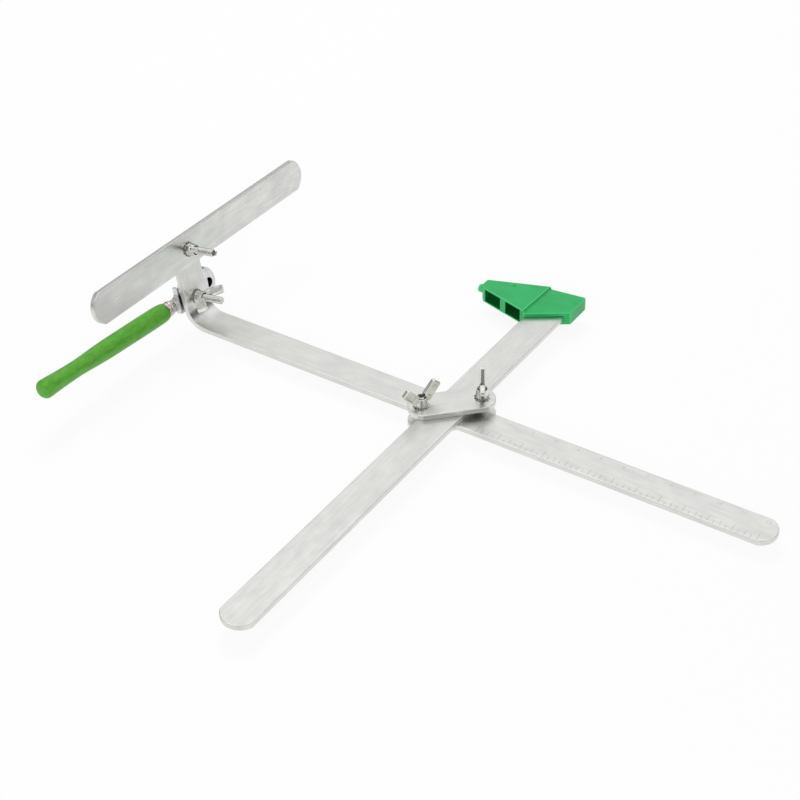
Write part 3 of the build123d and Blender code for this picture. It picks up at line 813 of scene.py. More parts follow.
@dataclass
class FlatBar:
    """One length of the flat bar with rounded ends, broken edges and drilled holes.

    The underside of the cross arm stays clear of the rolled rule, which it slides over.
    """

    node: str
    body: str
    start: float
    end: float
    place: Matrix
    holes: tuple[float, ...] = ()
    clear: float = 0.0
    width: float = 18.0
    thickness: float = 3.0
    end_radius: float = 9.8
    edge: float = 0.35
    hole_radius: float = 2.08
    rim_inset: float = 1.6  # in edge radii, from the side to the flat face's first ring
    arc_steps: int = 40
    edge_steps: int = 5
    hole_steps: int = 40

    def outline(self, inset: float) -> list[Pair]:
        """Gives the bar's outline, moved inwards.

        Args:
            inset: how far inwards, in millimetres.

        Returns:
            Points round the bar, anticlockwise.
        """
        half = self.width / 2 - inset
        radius = self.end_radius - inset
        sweep = math.asin(half / radius)
        points = []
        for centre, middle in ((self.end - self.end_radius, 0.0), (self.start + self.end_radius, math.pi)):
            for i in range(self.arc_steps + 1):
                angle = middle - sweep + 2 * sweep * i / self.arc_steps
                points.append((centre + radius * math.cos(angle), radius * math.sin(angle)))
        return points

    def levels(self) -> list[Pair]:
        """Inset and height of each ring, from the underside's rim over the edge to the top's rim."""
        quarter = [math.pi / 2 * i / self.edge_steps for i in range(self.edge_steps + 1)]
        low = [(self.edge * (1 - math.sin(a)), self.edge * (1 - math.cos(a))) for a in quarter]
        side = [(self.edge * self.rim_inset, 0.0)] + low + [(0.0, self.edge * self.rim_inset)]
        under = [(inset, max(height, self.clear)) for inset, height in side]
        return under + [(inset, self.thickness - height) for inset, height in reversed(side)]

    def blank(self) -> BMesh:
        """Builds the flat bar with its holes, underside at z = 0."""
        bm = bmesh.new()
        rings = [ring(bm, [(x, y, z) for x, y in self.outline(inset)]) for inset, z in self.levels()]
        for first, second in zip(rings, rings[1:]):
            bridge(bm, first, second)
        caps = {0.0: [rings[0]], self.thickness: [rings[-1]]}
        angles = round_angles(self.hole_steps)
        for centre in self.holes:
            walls = []
            for z in caps:
                wall = ring(bm, [(centre + self.hole_radius * math.cos(a), self.hole_radius * math.sin(a), z)
                                 for a in angles])
                caps[z].append(wall)
                walls.append(wall)
            bridge(bm, walls[0], walls[1])
        for loops in caps.values():
            edges = [bm.edges.get((loop[i], loop[(i + 1) % len(loop)])) for loop in loops for i in range(len(loop))]
            bmesh.ops.triangle_fill(bm, use_beauty=True, edges=edges)
        return bm

    def form(self, bm: BMesh) -> list[Vector]:
        """Shapes the blank and returns the points its grain is read at; a straight bar stays as it is."""
        return [v.co.copy() for v in bm.verts]

    def build(self, material: Material) -> Object:
        """Builds the bar.

        Args:
            material: its finish.

        Returns:
            The piece.
        """
        bm = self.blank()
        bm.verts.ensure_lookup_table()
        grain = self.form(bm)
        piece = mesh_object(self.node + "_bar", bm, self.place, grain, sharp=20)
        hand_over(piece, self.body, material, (self.node,))
        return piece


@dataclass
class RulerBar(FlatBar):
    """The ruler arm: a bar whose left end is bent up into the tab."""

    lean: float = 10.8
    inner_radius: float = 9.9
    tab_top: float = 47.4
    tab_holes: tuple[float, ...] = (12.1, 41.4)
    bend_steps: int = 20

    @classmethod
    def bend_angle(cls) -> float:
        """Angle that the bar turns through at the bend, in radians."""
        return math.radians(90 - cls.lean)

    @classmethod
    def tangent(cls) -> float:
        """Distance from the tab's foot to where the bend starts, in millimetres."""
        return cls.inner_radius * math.tan(cls.bend_angle() / 2)

    def __post_init__(self) -> None:
        """Works out the flat length and the holes' places before bending."""
        arc = self.inner_radius * self.bend_angle()
        self.start = -arc - (self.tab_top - self.tangent())
        self.holes = tuple(-arc - (height - self.tangent()) for height in self.tab_holes)

    def form(self, bm: BMesh) -> list[Vector]:
        """Cuts the blank across the bend and bends it.

        Args:
            bm: the flat bar, in metres.

        Returns:
            The flat place of each vertex.
        """
        arc = self.inner_radius * self.bend_angle()
        for i in range(self.bend_steps + 1):
            x = -arc * i / self.bend_steps * MM
            geometry = bm.verts[:] + bm.edges[:] + bm.faces[:]
            bmesh.ops.bisect_plane(bm, geom=geometry, dist=SNAP, plane_co=(x, 0, 0), plane_no=(1, 0, 0))
        bm.verts.ensure_lookup_table()
        flat = [v.co.copy() for v in bm.verts]
        centre = Vector((0, 0, (self.thickness + self.inner_radius) * MM))
        for v in bm.verts:
            if v.co.x >= 0:
                continue
            angle = min(-v.co.x / (self.inner_radius * MM), self.bend_angle())
            beyond = -v.co.x - angle * self.inner_radius * MM
            reach = centre.z - v.co.z
            x = -reach * math.sin(angle) - beyond * math.cos(angle)
            z = centre.z - reach * math.cos(angle) + beyond * math.sin(angle)
            v.co = Vector((x, v.co.y, z))
        return flat


# The rule on the ruler arm

@dataclass
class RuleMarks:
    """Lines in eighths of an inch along the near edge of the ruler arm, and small plain numbers by the far edge."""

    pitch: float = 3.175
    first: float = 18.9
    last: float = 171.5
    edge_gap: float = 0.45
    short: float = 2.3
    middle: float = 3.3
    long: float = 4.8
    line_width: float = 0.17
    height: float = 0.02
    digit_height: float = 2.3
    digit_row: float = 6.0
    type_size: float = 1.4  # in digit heights

    @property
    def count(self) -> int:
        """How many lines there are."""
        return int((self.last - self.first) / self.pitch) + 1

    def tree(self) -> NodeTree:
        """Builds the node tree that repeats the lines: every second is longer, every fourth longer still."""
        tree, given = new_shape_tree("rule lines", "Count", ("Pitch", "Short", "Middle", "Long", "Width", "Height"))
        step = add_node(tree, "ShaderNodeCombineXYZ", inputs={"X": given["Pitch"]})
        line = add_node(tree, "GeometryNodeMeshLine", {"mode": "OFFSET"}, {"Count": given["Count"], "Offset": step})
        index = add_node(tree, "GeometryNodeInputIndex")
        length: Pattern = given["Short"]
        for level, name in ((Level.QUARTER, "Middle"), (Level.HALF, "Long")):
            left = add_node(tree, "ShaderNodeMath", {"operation": "MODULO"}, {0: index, 1: level.value})
            whole = add_node(tree, "FunctionNodeCompare", {"data_type": "FLOAT", "operation": "LESS_THAN"},
                             {0: left, 1: 0.5})
            length = add_node(tree, "GeometryNodeSwitch", {"input_type": "FLOAT"},
                              {"Switch": whole, "False": length, "True": given[name]})
        half = add_node(tree, "ShaderNodeMath", {"operation": "MULTIPLY"}, {0: length, 1: 0.5})
        shift = add_node(tree, "ShaderNodeCombineXYZ", inputs={"Y": half})
        moved = add_node(tree, "GeometryNodeSetPosition", inputs={"Geometry": line, "Offset": shift})
        size = add_node(tree, "ShaderNodeCombineXYZ", inputs={"X": given["Width"], "Y": length, "Z": given["Height"]})
        block = add_node(tree, "GeometryNodeMeshCube", inputs={"Size": (1.0, 1.0, 1.0)})
        marks = add_node(tree, "GeometryNodeInstanceOnPoints",
                         inputs={"Points": moved, "Instance": block, "Scale": size})
        close_shape_tree(tree, given, marks)
        return tree

    def build(self, material: Material, faint: Material) -> None:
        """Builds the lines and the numbers.

        Args:
            material: finish of the lines.
            faint: finish of the numbers.
        """
        start = LAYOUT.crossing + Vector((self.first, self.edge_gap - FlatBar.width / 2, 0)) * MM
        sizes = {"Pitch": self.pitch, "Short": self.short, "Middle": self.middle, "Long": self.long,
                 "Width": self.line_width, "Height": self.height}
        values = {"Count": self.count, "Material": material} | {name: size * MM for name, size in sizes.items()}
        lines = grown("rule_lines", self.tree(), values, Matrix.Translation(start))
        hand_over(lines, "ruler", material)
        eighths = Level.HALF.value
        for number in range(1, (self.count - 1) // eighths + 1):
            x = self.first + number * eighths * self.pitch
            self.digits(number, LAYOUT.crossing + Vector((x, self.digit_row, 0)) * MM, faint)

    def digits(self, number: int, at: Vector, material: Material) -> None:
        """Builds one number of the rule.

        Args:
            number: what it reads.
            at: its middle on the bar's top face.
            material: the etched finish.
        """
        curve = bpy.data.curves.new(f"rule_number_{number}", "FONT")
        curve.body = str(number)
        curve.size = self.digit_height * MM * self.type_size
        curve.align_x = "CENTER"
        curve.align_y = "CENTER"
        curve.extrude = self.height / 2 * MM
        piece = plain(add_object(f"rule_number_{number}_text", curve), f"rule_number_{number}")
        piece.data.transform(Matrix.Translation(at))
        hand_over(piece, "ruler", material)


# Fasteners

@dataclass
class MachineBolt:
    """Zinc-plated hexagon-headed bolt with a rolled thread along its whole shank and painted shade on its end."""

    node: str
    body: str
    place: Matrix
    length: float
    end_shade: float
    radius: float = 2.0
    pitch: float = 0.7
    thread_depth: float = 0.3
    across_flats: float = 7.0
    head_height: float = 2.8
    end_chamfer: float = 0.5
    flank: float = 3.2  # how fast the thread rises, in depths per pitch
    face_share: float = 0.94
    face_slope: float = 30.0
    seat_step: float = 0.12
    end_depth: float = 0.02
    segments: int = 48
    steps: int = 7

    def thread_radius(self, z: float, angle: float) -> float:
        """Radius of the thread at a height and an angle, in millimetres."""
        turn = (z / self.pitch - angle / (2 * math.pi)) % 1.0
        crest = max(0.0, min(1.0, self.flank / 2 - self.flank * abs(turn - 0.5)))
        radius = self.radius - self.thread_depth + self.thread_depth * crest
        return min(radius, self.radius - self.end_chamfer + max(0.0, self.length - z))

    def hexagon(self, angle: float) -> float:
        """Distance from the axis to the head's side at an angle, in millimetres."""
        local = math.degrees(angle) % 60 - 30
        return self.across_flats / 2 / math.cos(math.radians(local))

    def build(self, material: Material) -> None:
        """Builds the bolt.

        Args:
            material: the zinc plate.
        """
        angles = round_angles(self.segments)
        sides = [self.hexagon(a) for a in angles]
        face = self.across_flats / 2 * self.face_share
        slope = math.tan(math.radians(self.face_slope))
        levels = [
            [(face, -self.head_height) for _ in angles],
            [(side, -self.head_height + (side - face) * slope) for side in sides],
            [(side, -self.seat_step) for side in sides],
            [(side - self.seat_step, 0.0) for side in sides],
            [(self.radius, 0.0) for _ in angles],
        ]
        count = int(self.length / self.pitch * self.steps)
        for i in range(1, count + 1):
            z = self.length * i / count
            levels.append([(self.thread_radius(z, a), z) for a in angles])
        bm = bmesh.new()
        rings = [ring(bm, [(radius * math.cos(a), radius * math.sin(a), z) for a, (radius, z) in zip(angles, level)])
                 for level in levels]
        for first, second in zip(rings, rings[1:]):
            bridge(bm, first, second)
        bm.faces.new(rings[0])
        bm.faces.new(rings[-1])
        piece = mesh_object(self.node + "_threaded", bm, self.place, sharp=38)
        local = [0.0] * (3 * len(piece.data.vertices))
        piece.data.attributes[GRAIN].data.foreach_get("vector", local)
        # painted shade: the bolt's end face is painted dark, by its stack's share
        end = (self.length - self.end_depth) * MM
        mark(piece, PAINTED_SHADE, [self.end_shade if z > end else 0.0 for z in local[2::3]])
        hand_over(piece, self.body, material, (self.node,))


@dataclass
class ToothedWasher:
    """External-tooth lock washer: a flat ring with twisted teeth."""

    node: str
    place: Matrix
    teeth: int = 14
    bore: float = 2.1
    rim: float = 3.3
    root: float = 0.2
    tip: float = 4.12
    thickness: float = 0.5
    tall: float = 0.76
    tooth_width: float = 0.9
    tooth_height: float = 0.4
    twist: float = 24.0
    band_steps: int = 56

    @classmethod
    def tree(cls) -> NodeTree:
        """Builds the node tree of the washer: a ring, and a twisted tooth repeated round it."""
        tree, given = new_shape_tree("toothed washer", "Teeth", (
            "Bore", "Rim", "Root", "Tip", "Thickness", "Tall", "Tooth Width", "Tooth Height", "Twist"))
        root = add_node(tree, "ShaderNodeMath", {"operation": "SUBTRACT"}, {0: given["Rim"], 1: given["Root"]})
        middles, spans = [], []
        for inner, outer in ((given["Bore"], given["Rim"]), (root, given["Tip"])):
            total = add_node(tree, "ShaderNodeMath", {"operation": "ADD"}, {0: inner, 1: outer})
            middles.append(add_node(tree, "ShaderNodeMath", {"operation": "MULTIPLY"}, {0: total, 1: 0.5}))
            spans.append(add_node(tree, "ShaderNodeMath", {"operation": "SUBTRACT"}, {0: outer, 1: inner}))

        circle = add_node(tree, "GeometryNodeCurvePrimitiveCircle",
                          inputs={"Resolution": cls.band_steps, "Radius": middles[0]})
        section = add_node(tree, "GeometryNodeCurvePrimitiveQuadrilateral",
                           inputs={"Width": spans[0], "Height": given["Thickness"]})
        band = add_node(tree, "GeometryNodeCurveToMesh",
                        inputs={"Curve": circle.outputs[0], "Profile Curve": section.outputs[0]})

        places = add_node(tree, "GeometryNodeMeshCircle", inputs={"Vertices": given["Teeth"], "Radius": middles[1]})
        index = add_node(tree, "GeometryNodeInputIndex")
        way = add_node(tree, "ShaderNodeMath", {"operation": "MULTIPLY"}, {0: index, 1: 2 * math.pi})
        angle = add_node(tree, "ShaderNodeMath", {"operation": "DIVIDE"}, {0: way, 1: given["Teeth"]})
        turn = add_node(tree, "ShaderNodeCombineXYZ", inputs={"X": given["Twist"], "Z": angle})
        size = add_node(tree, "ShaderNodeCombineXYZ",
                        inputs={"X": spans[1], "Y": given["Tooth Width"], "Z": given["Tooth Height"]})
        tooth = add_node(tree, "GeometryNodeMeshCube", inputs={"Size": size})
        teeth = add_node(tree, "GeometryNodeInstanceOnPoints",
                         inputs={"Points": places, "Instance": tooth, "Rotation": turn})

        joined = add_node(tree, "GeometryNodeJoinGeometry", inputs={"Geometry": band})
        tree.links.new(teeth.outputs[0], joined.inputs["Geometry"])
        lift = add_node(tree, "ShaderNodeMath", {"operation": "MULTIPLY"}, {0: given["Tall"], 1: 0.5})
        rise = add_node(tree, "ShaderNodeCombineXYZ", inputs={"Z": lift})
        raised = add_node(tree, "GeometryNodeTransform", inputs={"Geometry": joined, "Translation": rise})
        close_shape_tree(tree, given, raised)
        return tree

    def build(self, tree: NodeTree, material: Material) -> None:
        """Builds the washer.

        Args:
            tree: the washer's node tree.
            material: the spring steel.
        """
        sizes = {"Bore": self.bore, "Rim": self.rim, "Root": self.root, "Tip": self.tip,
                 "Thickness": self.thickness, "Tall": self.tall, "Tooth Width": self.tooth_width,
                 "Tooth Height": self.tooth_height}
        values = {"Teeth": self.teeth, "Twist": math.radians(self.twist), "Material": material}
        values |= {name: size * MM for name, size in sizes.items()}
        piece = grown(self.node + "_toothed", tree, values, self.place)
        hand_over(piece, self.node, material, (self.node,))


@dataclass
class WingNut:
    """Cast wing nut: the CAD form with the soft roots and rounded rims of a casting."""

    node: str
    seat: Vector
    axis: Vector
    voxel: float = 0.16
    passes: int = 6
    mouth: float = 2.6
    mouth_heights: Pair = (4.5, 5.7)

    def crevice(self, piece: Object) -> None:
        """Marks painted shade at the mouth of the thread, between nut and bolt.

        Args:
            piece: the dressed nut.
        """
        low, high = self.mouth_heights
        marks = []
        for vertex in piece.data.vertices:
            out = (vertex.co - self.seat) / MM
            inside = out.cross(self.axis).length < self.mouth and low < out.dot(self.axis) < high
            marks.append(float(inside))
        # painted shade at the thread's mouth
        mark(piece, PAINTED_SHADE, marks)

    def build(self, material: Material) -> None:
        """Builds the nut.

        Args:
            material: the nickel plate.
        """
        piece = solid_copy(self.node, self.node + "_cast", [
            ("REMESH", {"mode": "VOXEL", "voxel_size": self.voxel * MM}),
            ("SMOOTH", {"factor": 0.5, "iterations": self.passes}),
        ], flat=0.0)
        piece.data.shade_smooth()
        self.crevice(piece)
        hand_over(piece, self.node, material, (self.node,))


@dataclass(frozen=True)
class Stack:
    """One bolt with its washer and its wing nut.

    The name has a gap for the word bolt, washer or wing_nut. The turn, in degrees, is where the flats and the wings
    face, the grip is what the bolt holds between its head and the washer, and the last value is painted shade on its
    end.
    """

    name: str
    body: str
    turn: float
    grip: float
    length: float
    end_shade: float

    def direction(self) -> Vector:
        """Direction that the flats and the wings face: level on the clamp, in the tab's face on the ruler arm."""
        if self.body == "ruler":
            return LAYOUT.tab_direction(self.turn)
        angle = math.radians(self.turn)
        return Vector((math.cos(angle), math.sin(angle), 0))


@dataclass
class Fasteners:
    """The four bolts with their washers and wing nuts."""

    # the last value of each stack is the share of painted shade on the bolt's end
    stacks: tuple[Stack, ...] = (
        Stack("clamp_{}_left", "clamp", 69.0, 12.0, 18.0, 0.9),
        Stack("clamp_{}_right", "clamp", 121.6, 12.0, 18.0, 0.9),
        Stack("rest_{}", "ruler", -34.0, 6.0, 23.4, 0.7),
        Stack("cutter_{}", "ruler", 9.0, 7.2, 25.0, 0.1),
    )

    def build(self, zinc: Material, spring: Material, nickel: Material) -> None:
        """Builds all the fasteners.

        Args:
            zinc: finish of the bolts.
            spring: finish of the washers.
            nickel: finish of the wing nuts.
        """
        washer_tree = ToothedWasher.tree()
        for stack in self.stacks:
            bolt, washer, nut = (stack.name.format(kind) for kind in ("bolt", "washer", "wing_nut"))
            seat, axis = joint_place(washer + "_slide")
            place = placed(seat - axis * (stack.grip * MM), stack.direction(), axis)
            MachineBolt(bolt, stack.body, place, stack.length, stack.end_shade).build(zinc)
            ToothedWasher(washer, placed(seat, stack.direction(), axis)).build(washer_tree, spring)
            WingNut(nut, seat, axis).build(nickel)


# Scoring tool

@dataclass
class ScoringTool:
    """Notched steel head with its wheel and pin, the pressed ferrule and the turned handle."""

    neck_rear: float = 14.2
    axis_drop: float = 0.45
    ferrule_length: float = 7.4
    handle_length: float = 94.8
    largest_radius: float = 5.35
    butt_round: float = 3.0
    butt_share: float = 0.96
    butt_ease: float = 0.992
    butt_steps: int = 12
    front_inset: float = 0.35
    front_round: Pair = (0.12, 0.1)
    handle_steps: int = 96
    station_shares: tuple[float, ...] = (0.0, 0.013, 0.046, 0.15, 0.32, 0.44, 0.51, 0.585, 0.66, 0.72, 0.785,
                                         0.87, 0.93)
    radius_shares: tuple[float, ...] = (0.9, 0.945, 0.985, 1.0, 0.99, 0.98, 0.96, 0.91, 0.85, 0.818, 0.83,
                                        0.88, 0.93)
    ferrule_profile: tuple[Pair, ...] = (
        (0.0, 3.15), (0.25, 3.4), (2.3, 4.05), (2.55, 4.18), (3.5, 4.27), (3.85, 4.0), (4.1, 3.93), (4.35, 4.0),
        (4.65, 4.28), (5.25, 4.29), (5.5, 4.14), (5.7, 4.1), (5.9, 4.14), (6.15, 4.29), (7.1, 4.3), (7.4, 4.2))
    wheel_radius: float = 2.7
    wheel_thickness: float = 1.0
    wheel_dish: float = 0.1
    wheel_land: float = 1.0
    wheel_bore: float = 0.73
    wheel_edge: float = 60.0  # degrees, half of the angle of the ground edge
    wheel_steps: int = 72
    # where the painted shade of the head's recess goes
    recess_at: Pair = (15.3, 0.9)
    recess_reach: float = 2.9
    recess_side: float = 1.45
    head_edge: float = 0.22

    def axle(self) -> Matrix:
        """Place of the handle's line: x runs back from the neck."""
        neck = Matrix.Translation(Vector((-self.neck_rear, -self.axis_drop, 0)) * MM)
        return LAYOUT.cutter() @ neck @ Matrix.Rotation(math.pi, 4, "Z")

    def handle(self, material: Material) -> None:
        """Builds the handle: full at the front, waisted, with a round butt.

        Args:
            material: the painted wood.
        """
        front = self.ferrule_length
        butt = front + self.handle_length
        butt_start = butt - self.butt_round
        rear_radius = self.largest_radius * self.butt_share * self.butt_ease
        stations = [(front + share * self.handle_length, radius * self.largest_radius)
                    for share, radius in zip(self.station_shares, self.radius_shares)]
        stations.append((butt_start, rear_radius))
        full = stations[0][1]
        along, inwards = self.front_round
        profile = [(front, 0.0), (front, full - self.front_inset), (front + along, full - inwards)]
        profile += smooth_profile(stations)
        for i in range(1, self.butt_steps + 1):
            angle = math.pi / 2 * i / self.butt_steps
            profile.append((butt_start + self.butt_round * math.sin(angle),
                            rear_radius - self.butt_round * (1 - math.cos(angle))))
        profile.append((butt, 0.0))
        piece = mesh_object("handle_turned", turned(profile, self.handle_steps), self.axle(), sharp=50)
        hand_over(piece, "cutter", material, ("handle",))

    def ferrule(self, material: Material) -> None:
        """Builds the ferrule with its coned nose, rolled grooves and lip.

        Args:
            material: the pressed metal.
        """
        points = [(0.0, 0.0), *self.ferrule_profile, (self.ferrule_length, 0.0)]
        piece = mesh_object("ferrule_pressed", turned(points), self.axle(), sharp=50)
        hand_over(piece, "cutter", material, ("ferrule",))

    def wheel(self, material: Material) -> None:
        """Builds the scoring wheel with its ground edge.

        Args:
            material: the hardened steel.
        """
        at, axis = joint_place("wheel_spin")
        half = self.wheel_thickness / 2
        shoulder = self.wheel_radius - half / math.tan(math.radians(self.wheel_edge))
        sides = [(half - self.wheel_dish, self.wheel_bore), (half - self.wheel_dish, shoulder - self.wheel_land),
                 (half, shoulder - self.wheel_land), (half, shoulder)]
        bm = bmesh.new()
        loops = [hoop(bm, z, radius, self.wheel_steps)
                 for z, radius in [(-z, r) for z, r in sides] + [(0.0, self.wheel_radius)] + sides[::-1]]
        for first, second in zip(loops, loops[1:] + loops[:1]):
            bridge(bm, first, second)
        place = placed(at, axis, LAYOUT.tab_direction(0))
        piece = mesh_object("scoring_wheel_ground", bm, place, sharp=30)
        hand_over(piece, "scoring_wheel", material, ("scoring_wheel",))

    def blacken(self, head: Object) -> None:
        """Marks painted shade, near black, in the D-shaped recess of the head.

        Args:
            head: the dressed head.
        """
        back = LAYOUT.cutter().inverted()
        marks = []
        for vertex in head.data.vertices:
            local = back @ vertex.co / MM
            off = math.hypot(local.x - self.recess_at[0], local.y - self.recess_at[1])
            marks.append(1.0 if off < self.recess_reach and abs(local.z) < self.recess_side else 0.0)
        mark(head, PAINTED_SHADE, marks)

    def build(self, finishes: dict[Slot, Material]) -> None:
        """Builds the whole tool.

        Args:
            finishes: materials by slot.
        """
        head = solid_copy("cutter_head", "cutter_head_eased", [
            ("BEVEL", {"width": self.head_edge * MM, "segments": 3, "limit_method": "ANGLE",
                       "angle_limit": math.radians(30), "harden_normals": False}),
            EVEN_NORMALS,
        ])
        # painted shade in the head's recess
        self.blacken(head)
        hand_over(head, "cutter", finishes[Slot.HEAD], ("cutter_head",))
        self.handle(finishes[Slot.WOOD])
        self.ferrule(finishes[Slot.FERRULE])
        self.wheel(finishes[Slot.WHEEL])


# Corner guide

@dataclass
class CornerGuide:
    """Moulded guide: the CAD form with the softened edges of a moulding."""

    edge: float = 0.45
    dot: float = 0.9
    looks: int = 96
    sight: float = 25.0
    look_gap: float = 0.02
    open_share: float = 0.1

    def shelter(self, piece: Object) -> None:
        """Marks painted shade on each larger face by how much of its outlook the guide itself shuts off, most of it in
        pockets.

        Args:
            piece: the dressed guide.
        """
        mesh = piece.data
        mesh.calc_loop_triangles()
        corners = [v.co.copy() for v in mesh.vertices]
        hull = BVHTree.FromPolygons(corners, [tuple(part.vertices) for part in mesh.loop_triangles])
        turn = math.pi * (3 - math.sqrt(5))
        outlooks = []
        for i in range(self.looks):
            height = 1 - 2 * (i + 0.5) / self.looks
            flat = math.sqrt(1 - height * height)
            outlooks.append(Vector((flat * math.cos(turn * i), flat * math.sin(turn * i), height)))
        shares = [0.0] * len(mesh.polygons)
        for part in mesh.loop_triangles:
            if mesh.polygons[part.polygon_index].area < self.dot * MM ** 2:
                continue
            start = part.center + part.normal * (self.look_gap * MM)
            ahead = [way for way in outlooks if way.dot(part.normal) > 0]
            shut = sum(hull.ray_cast(start, way, self.sight * MM)[0] is not None for way in ahead) / len(ahead)
            share = max(0.0, shut - self.open_share) / (1 - self.open_share)
            shares[part.polygon_index] += share * part.area / mesh.polygons[part.polygon_index].area
        mark(piece, PAINTED_SHADE, shares, "FACE")

    def rub(self, piece: Object) -> None:
        """Marks a painted highlight on the narrow faces of the softened edges and on the dots.

        Args:
            piece: the dressed guide.
        """
        marks = []
        for face in piece.data.polygons:
            points = [piece.data.vertices[i].co for i in face.vertices]
            longest = max((a - b).length for a, b in zip(points, points[1:] + points[:1]))
            narrow = face.area / longest < self.edge * MM
            marks.append(1.0 if narrow or face.area < self.dot * MM ** 2 else 0.0)
        mark(piece, PAINTED_HIGHLIGHT, marks, "FACE")

    def build(self, material: Material) -> None:
        """Builds the guide.

        Args:
            material: the moulded plastic.
        """
        piece = solid_copy("corner_guide", "corner_guide_moulded", [EVEN_NORMALS], outer=self.edge)
        # painted highlight on edges and dots
        self.rub(piece)
        # painted shade where the guide shuts off the light
        self.shelter(piece)
        hand_over(piece, "corner_guide", material, ("corner_guide",))


# Arms

@dataclass
class Arms:
    """The ruler arm, the cross arm, the rest bar and the two clamp plates."""

    plate_half: float = 22.7
    bolt_reach: float = 15.799
    rule_clearance: float = 0.015
    ruler_reach: float = 178.3
    cross_ends: Pair = (-186.0, 114.0)
    rest_ends: Pair = (-75.3, 101.7)

    def bars(self) -> list[FlatBar]:
        """Lists the five bars with their places."""
        cross = LAYOUT.crossing
        thickness = FlatBar.thickness
        bend_start = LAYOUT.tab_foot + Vector((RulerBar.tangent(), 0, -thickness)) * MM
        flat_end = (cross.x - bend_start.x) / MM + self.ruler_reach
        rest_place = placed(joint_place("rest_bar_hinge")[0], LAYOUT.tab_direction(LAYOUT.rest_bar_tilt),
                            LAYOUT.outward)
        plates = [
            FlatBar(node, "clamp", -self.plate_half, self.plate_half,
                    placed(cross + UP * (height * MM), Vector((1, 1, 0)), UP), (-self.bolt_reach, self.bolt_reach))
            for node, height in (("clamp_top_plate", thickness), ("clamp_bottom_plate", -2 * thickness))
        ]
        return [
            RulerBar("ruler_arm", "ruler", 0.0, flat_end, placed(bend_start, Vector((1, 0, 0)), UP)),
            FlatBar("cross_arm", "cross_arm", *self.cross_ends, placed(cross, Vector((0, 1, 0)), UP),
                    clear=self.rule_clearance),
            FlatBar("rest_bar", "rest_bar", *self.rest_ends, rest_place, (0.0,)),
            *plates,
        ]

    def build(self, material: Material) -> None:
        """Builds the five bars.

        Args:
            material: the aluminium.
        """
        for bar in self.bars():
            bar.build(material)


# Stage

